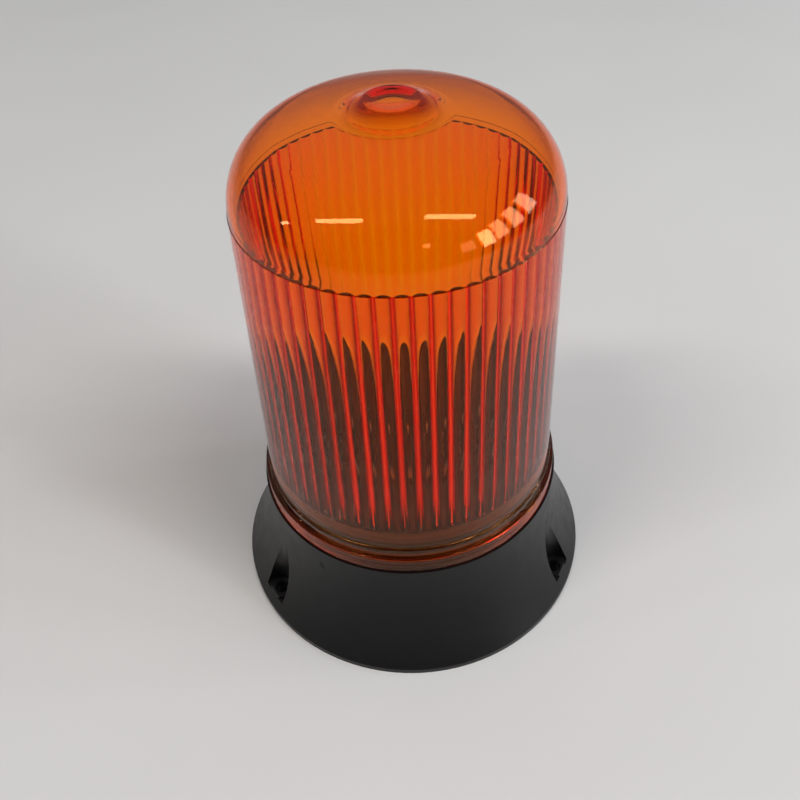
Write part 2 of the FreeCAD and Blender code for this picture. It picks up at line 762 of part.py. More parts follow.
def toothed_disc(teeth, low_z, high_z, centre, tooth_at):
    """Spur gear with involute flanks and one tooth pointing to tooth_at degrees."""
    pitch = pitch_r(teeth)
    pressure = math.radians(pressure_angle)
    base = pitch * math.cos(pressure)
    tip = pitch + gear_module * tooth_addendum
    root = pitch - gear_module * tooth_dedendum
    half_pitch_angle = (math.pi * gear_module / 2 - tooth_backlash) / 2 / pitch

    def half_angle(radius):
        local = math.acos(min(1.0, base / radius))
        return half_pitch_angle + involute(pressure) - involute(local)

    def flank_point(radius, tooth, side):
        angle = tooth + side * half_angle(max(radius, base))
        return Vector(radius * math.cos(angle), radius * math.sin(angle), 0)

    flank_low = max(root + 0.02, base)
    middle = (flank_low + tip) / 2
    edges = []
    step = 2 * math.pi / teeth
    for index in range(teeth):
        tooth = index * step
        rising = [flank_point(r, tooth, -1) for r in (root, flank_low, middle, tip)]
        falling = [flank_point(r, tooth, 1) for r in (tip, middle, flank_low, root)]
        next_root = flank_point(root, tooth + step, -1)
        if base > root:
            edges.append(Part.makeLine(rising[0], rising[1]))
            edges.append(Part.Arc(rising[1], rising[2], rising[3]).toShape())
            edges.append(Part.makeLine(rising[3], falling[0]))
            edges.append(Part.Arc(falling[0], falling[1], falling[2]).toShape())
            edges.append(Part.makeLine(falling[2], falling[3]))
        else:
            edges.append(Part.Arc(rising[0], rising[2], rising[3]).toShape())
            edges.append(Part.makeLine(rising[3], falling[0]))
            edges.append(Part.Arc(falling[0], falling[1], falling[3]).toShape())
        edges.append(Part.makeLine(falling[3], next_root))
    disc = Part.Face(Part.Wire(edges)).extrude(Vector(0, 0, high_z - low_z))
    disc.rotate(ORIGIN, UP, tooth_at)
    disc.translate(Vector(centre.x, centre.y, low_z))
    return disc


def ring_gear():
    """Plastic wheel that carries the reflector; one tooth points at the idler."""
    wheel = toothed_disc(ring_teeth, small_gear_z, ring_top_z, ORIGIN, idler_angle)
    hub = rod(ring_hub_r, bush_low_z, hub_top_z)
    cuts = [rod(bush_out_r + seat_fit, bush_low_z - 1, hub_top_z + 1)]
    for angle in (0, 32, 148, 180, 212, 328):
        cuts.append(rod(ring_hole_r, small_gear_z - 1, ring_top_z + 1,
                        polar(ring_hole_circle, angle)))
    for seat in bracket_screw_places() + counterweight_screw_places():
        cuts.append(rod(screw_r + seat_fit, small_gear_z - 1, ring_top_z + 1, seat))
    return wheel.fuse(hub).cut(cuts).removeSplitter()


def rotor_bush():
    return ring(bush_in_r, bush_out_r, bush_low_z, bush_top_z)


def idler_gear():
    """Compound wheel: the big stage takes the pinion, the small one drives the ring gear."""
    centre = idler_centre()
    big = toothed_disc(idler_big_teeth, big_gear_z, big_gear_z + big_gear_thickness,
                       centre, heading(centre, motor_centre()))
    gap_angle = idler_angle + 180
    small = toothed_disc(idler_small_teeth, small_gear_z - gear_stage_gap - 0.1,
                         ring_top_z + body_gap, centre,
                         gap_angle + 180.0 / idler_small_teeth)
    hub = rod(idler_pin_r + 2, chassis_top_z + body_gap, big_gear_z + 0.5, centre)
    bore = rod(idler_pin_r + running_fit, deck_z, ring_top_z + 5, centre)
    return big.fuse([small, hub]).cut(bore).removeSplitter()


def idler_clip_z():
    return ring_top_z + body_gap * 2


def idler_pin():
    return rod(idler_pin_r, deck_z, idler_clip_z() + idler_clip_thickness + 0.8, idler_centre())


def idler_clip():
    """Push-on clip that keeps the idler on its pin."""
    low_z = idler_clip_z()
    centre = idler_centre()
    clip = ring(idler_pin_r + seat_fit, idler_clip_r, low_z, low_z + idler_clip_thickness, centre)
    slit = block(0, idler_clip_r + 1, -0.6, 0.6, low_z - 1, low_z + 2)
    slit.translate(Vector(centre.x, centre.y, 0))
    return clip.cut(slit)


def drive_pinion():
    centre = motor_centre()
    gap_angle = heading(centre, idler_centre())
    wheel = toothed_disc(pinion_teeth, big_gear_z - 0.3, big_gear_z - 0.3 + pinion_length,
                         centre, gap_angle + 180.0 / pinion_teeth)
    bore = rod(motor_shaft_r + seat_fit, deck_z, ring_top_z + 5, centre)
    return wheel.cut(bore)


def motor_shaft():
    return rod(motor_shaft_r, motor_top_z - motor_shaft_inside,
               big_gear_z - 0.3 + pinion_length + shaft_tip, motor_centre())


# ---------------------------------------------------------------- motor

def motor_can():
    centre = motor_centre()
    can = rod(motor_r, motor_low_z, motor_top_z, centre)
    rim = [edge for edge in can.Edges if abs(edge.BoundBox.ZMin - motor_top_z) < 1e-6]
    can = can.makeChamfer(1.2, rim)
    nose = rod(motor_nose_r, motor_top_z - 0.5, motor_top_z + motor_nose_height, centre)
    bore = rod(motor_shaft_r + running_fit, motor_top_z - motor_shaft_inside - body_gap,
               motor_top_z + 5, centre)
    return can.fuse(nose).cut(bore).removeSplitter()


def motor_end_bell():
    """Plastic rear cover of the motor."""
    centre = motor_centre()
    bell = turned([(0, bell_low_z), (motor_r - 1.4, bell_low_z), (motor_r - 0.4, bell_low_z + 1),
                   (motor_r - 0.4, motor_low_z), (0, motor_low_z)])
    bell.translate(Vector(centre.x, centre.y, 0))
    return bell


def clamp_half_span():
    return motor_r + clamp_side_gap + clamp_thickness


def clamp_screw_places():
    """Centres of the clamp's two screws, on either side of the motor."""
    reach = clamp_half_span() + clamp_foot_length * 0.55
    centre = motor_centre()
    return [centre + polar(reach, motor_angle + side * 90) for side in (-1, 1)]


def motor_clamp():
    """Bent steel strap under the motor, with a foot on each side."""
    span = clamp_half_span()
    half = clamp_width / 2
    low = bell_low_z - clamp_thickness
    bridge = block(-half, half, -span, span, low, bell_low_z)
    strap = bridge
    for side in (-1, 1):
        inner = side * (span - clamp_thickness)
        outer = side * span
        tip = side * (span + clamp_foot_length)
        leg = block(-half, half, min(inner, outer), max(inner, outer), low, clamp_foot_z)
        foot = block(-half, half, min(inner, tip), max(inner, tip),
                     clamp_foot_z - clamp_thickness, clamp_foot_z)
        strap = strap.fuse([leg, foot])
    strap.rotate(ORIGIN, UP, motor_angle)
    centre = motor_centre()
    strap.translate(Vector(centre.x, centre.y, 0))
    holes = [rod(screw_r + seat_fit, low, clamp_foot_z + 1, seat) for seat in clamp_screw_places()]
    return strap.cut(holes).removeSplitter()


# ---------------------------------------------------------------- rotor

def paraboloid_outline():
    """Closed outline of the bowl in the XY plane: x is the radius, y runs along its axis."""
    depth = reflector_r ** 2 / (4 * reflector_focus)
    samples = [reflector_r * i / 6 for i in range(7)]
    inner = [Vector(r, r * r / (4 * reflector_focus), 0) for r in samples]
    outer = []
    for point in inner:
        slope = point.x / (2 * reflector_focus)
        length = math.hypot(1, slope)
        outer.append(point + Vector(slope, -1, 0) * (reflector_wall / length))
    lip_low = outer[-1].y
    rim = Vector(reflector_r + reflector_lip + reflector_wall, depth, 0)
    under = Vector(rim.x, lip_low, 0)
    curve_in = Part.BSplineCurve()
    curve_in.interpolate(inner)
    curve_out = Part.BSplineCurve()
    curve_out.interpolate(outer)
    edges = [curve_in.toShape(), Part.makeLine(inner[-1], rim), Part.makeLine(rim, under),
             Part.makeLine(under, outer[-1]), curve_out.toShape(),
             Part.makeLine(outer[0], inner[0])]
    return Part.Wire(Part.__sortEdges__(edges))


def reflector():
    """Parabolic bowl round the lamp, cut flat below and notched round the lamp post."""
    bowl = Part.Face(paraboloid_outline()).revolve(ORIGIN, Vector(0, 1, 0), 360)
    pad_start = -reflector_wall - reflector_pad_height
    pad = Part.makeCylinder(reflector_pad_r, reflector_pad_height + reflector_wall * 0.8,
                            Vector(0, pad_start, 0), Vector(0, 1, 0))
    bowl = bowl.fuse(pad).removeSplitter()
    bowl.translate(Vector(0, -reflector_focus, filament_z))
    pilot = Part.makeCylinder(screw_r + seat_fit, 2.4,
                              Vector(0, pad_start - reflector_focus - 0.01, filament_z),
                              Vector(0, 1, 0))
    low_z = hub_top_z + reflector_low_gap
    wide = reflector_r * 3
    below = block(-wide, wide, -wide, wide, low_z - wide, low_z)
    notch = rod(reflector_notch_r, low_z - 1, post_top_z + 2)
    return bowl.cut([below, notch, pilot])


def bracket_face_y():
    """The plane where the bracket meets the pad behind the reflector."""
    return -reflector_focus - reflector_wall - reflector_pad_height


def bracket_screw_places():
    y = bracket_face_y() - bracket_thickness - bracket_foot / 2
    return [Vector(side * bracket_screw_spacing / 2, y, 0) for side in (-1, 1)]


def reflector_bracket():
    """Bent steel angle from the ring gear's face up behind the reflector."""
    face_y = bracket_face_y()
    half = bracket_width / 2
    back_y = face_y - bracket_thickness
    tall = block(-half, half, back_y, face_y, ring_top_z, filament_z + bracket_rise)
    upright = [edge for edge in tall.Edges
               if abs(edge.BoundBox.ZMin - edge.BoundBox.ZMax) < 1e-6
               and abs(edge.BoundBox.XMin - edge.BoundBox.XMax) < 1e-6
               and edge.BoundBox.ZMin > filament_z]
    tall = tall.makeFillet(half * 0.7, upright)
    foot = block(-half, half, back_y - bracket_foot, face_y, ring_top_z,
                 ring_top_z + bracket_thickness)
    hub_room = rod(ring_hub_r + seat_fit, ring_top_z - 1, hub_top_z + 0.3)
    holes = [rod(screw_r + seat_fit, ring_top_z - 1, ring_top_z + 5, seat)
             for seat in bracket_screw_places()]
    holes.append(Part.makeCylinder(screw_r + seat_fit, 6, Vector(0, back_y - 1, filament_z),
                                   Vector(0, 1, 0)))
    return tall.fuse(foot).cut(holes + [hub_room]).removeSplitter()


def reflector_screw():
    body = screw(ORIGIN, bracket_thickness + 2.0, 1)
    body.rotate(ORIGIN, Vector(1, 0, 0), -90)
    body.translate(Vector(0, bracket_face_y() - bracket_thickness, filament_z))
    return body


def counterweight_screw_places():
    middle = (counterweight_inner_r + counterweight_outer_r) / 2
    return [polar(middle, 90 + side * counterweight_angle * 0.3) for side in (-1, 1)]


def counterweight():
    """Curved weight opposite the reflector's back."""
    weight = sector(counterweight_inner_r, counterweight_outer_r, ring_top_z,
                    ring_top_z + counterweight_height, 90 - counterweight_angle / 2,
                    counterweight_angle)
    holes = [rod(screw_r + seat_fit, ring_top_z - 1, ring_top_z + counterweight_height + 1, seat)
             for seat in counterweight_screw_places()]
    return weight.cut(holes)


# ---------------------------------------------------------------- electrics

def board_screw_places():
    x_reach = board_length / 2 - board_hole_inset
    y_reach = board_width / 2 - board_hole_inset
    return [Vector(board_centre_x + side * x_reach, board_centre_y + side * y_reach, 0)
            for side in (-1, 1)]


def circuit_board():
    board = block(board_centre_x - board_length / 2, board_centre_x + board_length / 2,
                  board_centre_y - board_width / 2, board_centre_y + board_width / 2,
                  board_low_z, board_top_z)
    upright = [edge for edge in board.Edges if edge.BoundBox.ZLength > board_thickness * 0.9]
    board = board.makeChamfer(board_corner, upright)
    holes = [rod(screw_r + seat_fit, board_low_z - 1, board_top_z + 1, seat)
             for seat in board_screw_places()]
    return board.cut(holes)


def terminal_block():
    """Two-way screw terminal under the board, with wire mouths towards the grommet."""
    x0 = board_centre_x - board_length / 2 + terminal_start
    y1 = board_centre_y + board_width / 2 - terminal_edge
    body = block(x0, x0 + terminal_length, y1 - terminal_depth, y1,
                 board_low_z - terminal_height, board_low_z)
    pitch = terminal_length / terminal_ways
    for way in range(terminal_ways):
        x = x0 + pitch * (way + 0.5)
        mouth = block(x - pitch * 0.32, x + pitch * 0.32, y1 - terminal_mouth, y1 + 1,
                      board_low_z - terminal_height * 0.45, board_low_z - terminal_height * 0.1)
        well = rod(pitch * 0.3, board_low_z - terminal_height - 1,
                   board_low_z - terminal_height * 0.6,
                   Vector(x, y1 - terminal_depth * 0.45, 0))
        body = body.cut([mouth, well])
    return body


def capacitor():
    centre = Vector(board_centre_x + board_length / 2 - capacitor_end,
                    board_centre_y - capacitor_side, 0)
    can = rod(capacitor_r, board_low_z - capacitor_height, board_low_z, centre)
    rim = [edge for edge in can.Edges
           if abs(edge.BoundBox.ZMax - (board_low_z - capacitor_height)) < 1e-6]
    return can.makeChamfer(0.8, rim)


# ---------------------------------------------------------------- all pieces

def screws():
    """Every screw of the beacon, by node name."""
    made = {}
    for index, angle in enumerate(evenly(3, plate_post_start), 1):
        seat = polar(plate_post_circle, angle, plate_low_z)
        made["plate_screw_%d" % index] = screw(seat, plate_screw_length, 1)
    for index, angle in enumerate(evenly(3, chassis_screw_start), 1):
        seat = polar(chassis_screw_circle, angle, chassis_top_z)
        made["chassis_screw_%d" % index] = screw(seat, chassis_screw_length)
    for index, place in enumerate(clamp_screw_places(), 1):
        seat = Vector(place.x, place.y, clamp_foot_z - clamp_thickness)
        made["clamp_screw_%d" % index] = screw(seat, clamp_screw_length, 1)
    for index, place in enumerate(board_screw_places(), 1):
        seat = Vector(place.x, place.y, board_low_z)
        made["board_screw_%d" % index] = screw(seat, board_screw_length, 1)
    for index, place in enumerate(bracket_screw_places(), 1):
        seat = Vector(place.x, place.y, ring_top_z + bracket_thickness)
        made["bracket_screw_%d" % index] = screw(seat, bracket_thickness + ring_gear_thickness)
    for index, place in enumerate(counterweight_screw_places(), 1):
        seat = Vector(place.x, place.y, ring_top_z + counterweight_height)
        made["weight_screw_%d" % index] = screw(seat, counterweight_height + 2.5)
    made["reflector_screw"] = reflector_screw()
    return made


def pieces():
    made = {
        "base_housing": base_housing(),
        "base_plate": base_plate(),
        "base_gasket": base_gasket(),
        "cable_grommet": cable_grommet(),
        "lens_seal": lens_seal(),
        "chassis_plate": chassis_plate(),
        "lamp_post": lamp_post(),
        "post_circlip": post_circlip(),
        "lamp_holder": lamp_holder(),
        "lamp_insulator": lamp_insulator(),
        "bulb_cap": bulb_cap(),
        "bulb_glass": bulb_glass(),
        "idler_pin": idler_pin(),
        "idler_clip": idler_clip(),
        "motor_can": motor_can(),
        "motor_end_bell": motor_end_bell(),
        "motor_clamp": motor_clamp(),
        "circuit_board": circuit_board(),
        "terminal_block": terminal_block(),
        "capacitor": capacitor(),
        "ring_gear": ring_gear(),
        "rotor_bush": rotor_bush(),
        "reflector": reflector(),
        "reflector_bracket": reflector_bracket(),
        "counterweight": counterweight(),
        "idler_gear": idler_gear(),
        "drive_pinion": drive_pinion(),
        "motor_shaft": motor_shaft(),
        "lens": lens(),
    }
    made.update(screws())
    return made


os.makedirs("parts", exist_ok=True)
for name, shape in pieces().items():
    shape.exportStep("parts/" + name + ".step")
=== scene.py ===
"""Amber rotating beacon: the looks of its pieces, laid out as a Blender add-on."""
import math

import bmesh
import bpy
from bpy.props import FloatProperty, FloatVectorProperty, IntProperty, PointerProperty
from mathutils import Matrix, Vector


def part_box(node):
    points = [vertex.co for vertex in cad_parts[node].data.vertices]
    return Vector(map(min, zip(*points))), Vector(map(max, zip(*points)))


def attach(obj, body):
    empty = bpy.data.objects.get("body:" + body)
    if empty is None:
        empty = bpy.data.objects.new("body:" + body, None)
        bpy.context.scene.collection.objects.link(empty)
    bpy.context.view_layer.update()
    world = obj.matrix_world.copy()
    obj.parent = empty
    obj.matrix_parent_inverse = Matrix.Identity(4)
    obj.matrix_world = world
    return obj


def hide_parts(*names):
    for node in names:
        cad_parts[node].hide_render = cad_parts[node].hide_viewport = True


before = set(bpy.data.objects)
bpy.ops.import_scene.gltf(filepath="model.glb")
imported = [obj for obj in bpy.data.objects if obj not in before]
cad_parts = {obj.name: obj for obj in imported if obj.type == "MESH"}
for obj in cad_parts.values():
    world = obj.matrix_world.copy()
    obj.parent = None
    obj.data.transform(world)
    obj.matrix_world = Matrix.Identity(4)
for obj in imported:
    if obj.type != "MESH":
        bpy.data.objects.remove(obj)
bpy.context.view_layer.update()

bl_info = {
    "name": "Rotating Beacon",
    "version": (1, 0, 0),
    "blender": (4, 5, 0),
    "location": "View3D > Sidebar > Beacon",
    "description": "Lens, housing, lamp, rotor and stage of an amber rotating beacon",
    "category": "Object",
}

MM = 0.001
LENS_LOW, LENS_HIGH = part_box("lens")
CAP_LOW, CAP_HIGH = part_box("bulb_cap")
LAMP_HEIGHT = 84.5 * MM  # of the filament, on the reflector's axis
MERGE_DISTANCE = 1e-7  # closer points are one
CORNER_STEPS = 4  # round each corner of an outline
SMOOTH_ANGLE = 32.0  # degrees between faces that are still shaded as one


# ---- sizes and colours

def length_property(name, description, default):
    """A size in metres, shown in the scene's unit."""
    return FloatProperty(name=name, description=description, default=default,
                         min=0.0, precision=5, unit="LENGTH")


def colour_property(name, description, code):
    """A colour, given as an sRGB hex code."""
    return FloatVectorProperty(name=name, description=description, default=linear(code),
                               size=4, min=0.0, max=1.0, subtype="COLOR")


def linear(code):
    """Linear RGBA of an sRGB hex code such as #C87A1E."""
    parts = [int(code[i:i + 2], 16) / 255 for i in (1, 3, 5)]
    return tuple(p / 12.92 if p <= 0.04045 else ((p + 0.055) / 1.055) ** 2.4
                 for p in parts) + (1.0,)


class BeaconLensSizes(bpy.types.PropertyGroup):
    """Sizes and colours of the amber lens."""

    foot_radius: length_property("Foot radius", "Outer radius of the lower foot ring",
                                 LENS_HIGH.x)
    wall: length_property("Wall", "Thickness of the wall", 2.2 * MM)
    taper: length_property("Taper", "How far the wall draws in up to the moulding line", 3.1 * MM)
    seam_height: length_property("Seam height", "Height of the moulding line under the dome",
                                 176.9 * MM)
    shoulder_radius: length_property("Shoulder radius", "Radius of the dome's shoulder",
                                     23.8 * MM)
    crown_radius: length_property("Crown radius", "Radius of the dome's crown", 125 * MM)
    rib_count: IntProperty(name="Ribs", description="Ribs round the inside of the wall",
                           default=63, min=3)
    rib_height: length_property("Rib height", "How far a rib's round crest stands in", 1.3 * MM)
    rib_low: length_property("Rib low end", "Height of the rounded lower end of the ribs",
                             70 * MM)
    rib_top: length_property("Rib top end", "Height of the square top of the ribs", 175.5 * MM)
    amber: colour_property("Amber", "What one millimetre of the moulding lets through", "#FDDC70")


class BeaconLampSizes(bpy.types.PropertyGroup):
    """Sizes of the filament lamp."""

    coil_radius: length_property("Coil radius", "Radius of the filament coil", 0.45 * MM)
    coil_length: length_property("Coil length", "Length of the filament coil", 6.0 * MM)
    coil_turns: IntProperty(name="Coil turns", description="Turns of the filament", default=16,
                            min=2)
    wire_radius: length_property("Wire radius", "Radius of the filament wire", 0.09 * MM)
    lead_radius: length_property("Lead radius", "Radius of the two wires that hold the filament",
                                 0.25 * MM)


class BeaconScrewSizes(bpy.types.PropertyGroup):
    """Sizes of the pan-head screws."""

    head_radius: length_property("Head radius", "Radius of the head", 2.8 * MM)
    head_height: length_property("Head height", "Height of the head", 1.8 * MM)
    shank_radius: length_property("Shank radius", "Radius over the thread", 1.4 * MM)
    thread_pitch: length_property("Thread pitch", "Distance from one turn to the next", 1.0 * MM)
    recess_length: length_property("Recess length", "Length of the cross recess", 3.2 * MM)
    recess_width: length_property("Recess width", "Width of a slot of the recess", 0.75 * MM)


class BeaconStageSizes(bpy.types.PropertyGroup):
    """The table, the room and the camera."""

    table_colour: colour_property("Table", "Colour of the table top", "#D6D7D7")
    table_through: colour_property("Table in the lens", "Colour of the table top through glass",
                                   "#FBFBFB")
    horizon_colour: colour_property("Horizon", "Colour of the room at eye level", "#8E9092")
    ceiling_colour: colour_property("Ceiling", "Colour of the room overhead", "#B4B6B8")
    front_colour: colour_property("Front", "Colour of the room on the viewer's side", "#1E1E20")
    room_strength: FloatProperty(name="Room light", description="Strength of the room's light",
                                 default=0.66, min=0.0)
    focal_length: FloatProperty(name="Focal length", default=39.15, min=1.0, unit="CAMERA",
                                description="Of the camera, for a 36 mm sensor")


def settings(name):
    """The property group of that name on the scene."""
    return getattr(bpy.context.scene, name)


# ---- meshes

def new_piece(name, mesh, materials):
    """Object of a finished mesh, at the origin, with its materials."""
    made = bpy.data.objects.new(name, mesh)
    bpy.context.scene.collection.objects.link(made)
    for material in materials:
        mesh.materials.append(material)
    return made


def put_on(piece, body, nodes):
    """Lets a piece ride on its body and stand for its CAD nodes."""
    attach(piece, body)
    if nodes:
        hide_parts(*nodes)


def revolved(profile, angles, closed):
    """Vertices and faces of a closed outline of (radius, height) points turned about Z."""
    verts, rows = [], []
    for radius, height in profile:
        if radius < MERGE_DISTANCE:
            rows.append([len(verts)])
            verts.append((0.0, 0.0, height))
            continue
        rows.append(list(range(len(verts), len(verts) + len(angles))))
        verts += [(radius * math.cos(a), radius * math.sin(a), height) for a in angles]
    faces = []
    pairs = zip(rows, rows[1:] + rows[:1]) if closed else zip(rows, rows[1:])
    for low, high in pairs:
        if len(low) == 1 and len(high) == 1:
            continue
        for i in range(len(angles)):
            j = (i + 1) % len(angles)
            if len(low) == 1:
                faces.append((low[0], high[j], high[i]))
            elif len(high) == 1:
                faces.append((low[i], low[j], high[0]))
            else:
                faces.append((low[i], low[j], high[j], high[i]))
    return verts, faces


def arc(centre, radius, start, end, steps):
    """Points of a circle in the (radius, height) plane, angles in degrees from the horizontal."""
    angles = [math.radians(start + (end - start) * i / steps) for i in range(steps + 1)]
    return [(centre[0] + radius * math.cos(a), centre[1] + radius * math.sin(a)) for a in angles]


def rounded(corners):
    """Outline of (radius, height, corner radius) points with each corner rounded off."""
    outline = []
    for i, (x, z, reach) in enumerate(corners):
        here = Vector((x, z))
        if reach == 0 or i in (0, len(corners) - 1):
            outline.append((x, z))
            continue
        before = Vector(corners[i - 1][:2]) - here
        after = Vector(corners[i + 1][:2]) - here
        start = here + before.normalized() * min(reach, before.length * 0.49)
        end = here + after.normalized() * min(reach, after.length * 0.49)
        for k in range(CORNER_STEPS + 1):
            t = k / CORNER_STEPS
            point = start * (1 - t) ** 2 + here * 2 * t * (1 - t) + end * t ** 2
            outline.append((point.x, point.y))
    return outline


def mesh_from(name, verts, faces, smooth_to=SMOOTH_ANGLE):
    """Mesh of those faces, shaded smooth up to an angle between neighbours."""
    mesh = bpy.data.meshes.new(name)
    mesh.from_pydata(verts, [], faces)
    finish_mesh(mesh, smooth_to)
    return mesh


def finish_mesh(mesh, smooth_to=SMOOTH_ANGLE):
    """Merges doubles, points the faces outwards and shades them smooth up to an angle."""
    work = bmesh.new()
    work.from_mesh(mesh)
    bmesh.ops.remove_doubles(work, verts=work.verts, dist=MERGE_DISTANCE)
    bmesh.ops.recalc_face_normals(work, faces=work.faces)
    work.to_mesh(mesh)
    work.free()
    mesh.shade_smooth()
    mesh.set_sharp_from_angle(angle=math.radians(smooth_to))
    mesh.update()


def even_angles(count):
    """Angles of that many even steps round a circle."""
    return [2 * math.pi * i / count for i in range(count)]


# ---- node trees

def add(tree, kind, feeds=None, **values):
    """Adds a node. Values are its own settings, feeds are values or outputs for its inputs."""
    made = tree.nodes.new(kind)
    for name, value in values.items():
        setattr(made, name, value)
    for name, value in (feeds or {}).items():
        value = value.socket if isinstance(value, Number) else value
        if isinstance(value, bpy.types.NodeSocket):
            tree.links.new(value, made.inputs[name])
        else:
            made.inputs[name].default_value = value
    return made


class Number:
    """An output in a node tree that sums can be written with."""

    def __init__(self, tree, socket):
        self.tree, self.socket = tree, socket

    def done(self, operation, *others, **values):
        """What a maths operation makes of this number and the others."""
        made = add(self.tree, "ShaderNodeMath", dict(enumerate((self, *others))),
                   operation=operation, **values)
        return Number(self.tree, made.outputs[0])

    def __add__(self, other):
        return self.done("ADD", other)

    def __sub__(self, other):
        return self.done("SUBTRACT", other)

    def __rsub__(self, other):
        return self * -1.0 + other

    def __mul__(self, other):
        return self.done("MULTIPLY", other)

    def __truediv__(self, other):
        return self.done("DIVIDE", other)


def new_tree(name, *labels):
    """Geometry node tree with named number inputs, and a function that reads its inputs."""
    tree = bpy.data.node_groups.new(name, "GeometryNodeTree")
    tree.is_modifier = True
    face = tree.interface
    face.new_socket("Geometry", in_out="OUTPUT", socket_type="NodeSocketGeometry")
    kinds = {"Geometry": "Geometry", **dict.fromkeys(labels, "Float"), "Material": "Material"}
    for label, kind in kinds.items():
        face.new_socket(label, in_out="INPUT", socket_type="NodeSocket" + kind)
    source = add(tree, "NodeGroupInput")
    return tree, lambda label: Number(tree, source.outputs[label])


def point_axes(tree):
    """X, Y and Z of the points that a tree works on."""
    place = add(tree, "GeometryNodeInputPosition").outputs[0]
    split = add(tree, "ShaderNodeSeparateXYZ", {0: place})
    return [Number(tree, axis) for axis in split.outputs]


def close_tree(tree, given, geometry):
    """Ends a tree in real geometry with its material."""
    real = add(tree, "GeometryNodeRealizeInstances", {"Geometry": geometry})
    painted = add(tree, "GeometryNodeSetMaterial", {
        "Geometry": real.outputs[0], "Material": given("Material")})
    add(tree, "NodeGroupOutput", {"Geometry": painted.outputs[0]})
    return tree


def grown(name, seed_mesh, tree, inputs):
    """Plain mesh of what a tree makes from a seed mesh with those named inputs."""
    carrier = bpy.data.objects.new(name, seed_mesh)
    bpy.context.scene.collection.objects.link(carrier)
    modifier = carrier.modifiers.new("tree", "NODES")
    modifier.node_group = tree
    for item in tree.interface.items_tree:
        if item.in_out == "INPUT" and item.name in inputs:
            modifier[item.identifier] = inputs[item.name]
    graph = bpy.context.evaluated_depsgraph_get()
    made = bpy.data.meshes.new_from_object(carrier.evaluated_get(graph), depsgraph=graph)
    made.name = name
    bpy.data.objects.remove(carrier)
    return made


# ---- materials

def new_material(name):
    """Material with an empty node tree."""
    made = bpy.data.materials.new(name)
    made.use_nodes = True
    made.node_tree.nodes.clear()
    return made, made.node_tree


def shaded(tree, feeds):
    """Principled shader with those inputs, and the material's output."""
    shader = add(tree, "ShaderNodeBsdfPrincipled", feeds)
    return shader, add(tree, "ShaderNodeOutputMaterial", {"Surface": shader.outputs["BSDF"]})


NOISE_LOW, NOISE_HIGH = 0.3, 0.7  # the middle range of a noise, which is spread out
WEAR_SIZE = 0.4  # of the patches of gloss, by the patches of colour


def surface(name, first, second, shiny, dull, mottle, grain, depth, metallic=0.0,
            specular=0.5):
    """Material with mottled colour, uneven gloss and a fine grain, sizes in millimetres."""
    made, tree = new_material(name)
    place = add(tree, "ShaderNodeTexCoord").outputs["Object"]
    patches, wear, fine = [add(tree, "ShaderNodeTexNoise", {
        "Vector": place, "Scale": 1.0 / (size * MM), "Detail": detail}).outputs["Fac"]
        for size, detail in ((mottle, 3.0), (mottle * WEAR_SIZE, 5.0), (grain, 2.0))]
    share, roughness = [add(tree, "ShaderNodeMapRange", {
        "Value": noise, "From Min": NOISE_LOW, "From Max": NOISE_HIGH, "To Min": low,
        "To Max": high}).outputs["Result"]
        for noise, low, high in ((patches, 0.0, 1.0), (wear, shiny, dull))]
    colour = add(tree, "ShaderNodeMix", {0: share, 6: linear(first), 7: linear(second)},
                 data_type="RGBA")
    relief = add(tree, "ShaderNodeBump", {"Height": fine, "Distance": depth * MM})
    shaded(tree, {
        "Base Color": colour.outputs[2], "Roughness": roughness, "Metallic": metallic,
        "Specular IOR Level": specular, "Normal": relief.outputs["Normal"]})
    return made


def lets_lamps_through(tree, shader, output, colour):
    """Lets lamps shine through a clear body, which would otherwise throw a full shadow."""
    shade = add(tree, "ShaderNodeBsdfTransparent", {"Color": colour})
    path = add(tree, "ShaderNodeLightPath")
    both = add(tree, "ShaderNodeMixShader", {
        0: path.outputs["Is Shadow Ray"], 1: shader.outputs["BSDF"],
        2: shade.outputs["BSDF"]})
    tree.links.new(both.outputs[0], output.inputs["Surface"])


def amber_moulding():
    """Injection-moulded amber acrylic: glossy and clear, the deeper the more orange."""
    made, tree = new_material("injection_moulded_amber_acrylic")
    shader, output = shaded(tree, {
        "Base Color": linear("#FFFFFF"), "Roughness": 0.02, "IOR": 1.49,
        "Transmission Weight": 1.0, "Specular Tint": linear("#FFB870")})
    lets_lamps_through(tree, shader, output, linear("#989898"))
    taken = [-math.log(share) for share in tuple(settings("beacon_lens").amber)[:3]]
    most = max(taken)
    depth = add(tree, "ShaderNodeVolumeAbsorption", {
        "Color": tuple(1.0 - each / most for each in taken) + (1.0,), "Density": most / MM})
    tree.links.new(depth.outputs[0], output.inputs["Volume"])
    return made


def lamp_glass():
    """Blown soda-lime glass: colourless, thin and clear, so that the filament shows."""
    made, tree = new_material("blown_soda_lime_glass")
    shader, output = shaded(tree, {
        "Base Color": linear("#FAFCFC"), "Roughness": 0.0, "IOR": 1.5,
        "Transmission Weight": 1.0})
    lets_lamps_through(tree, shader, output, linear("#F4F6F6"))
    return made


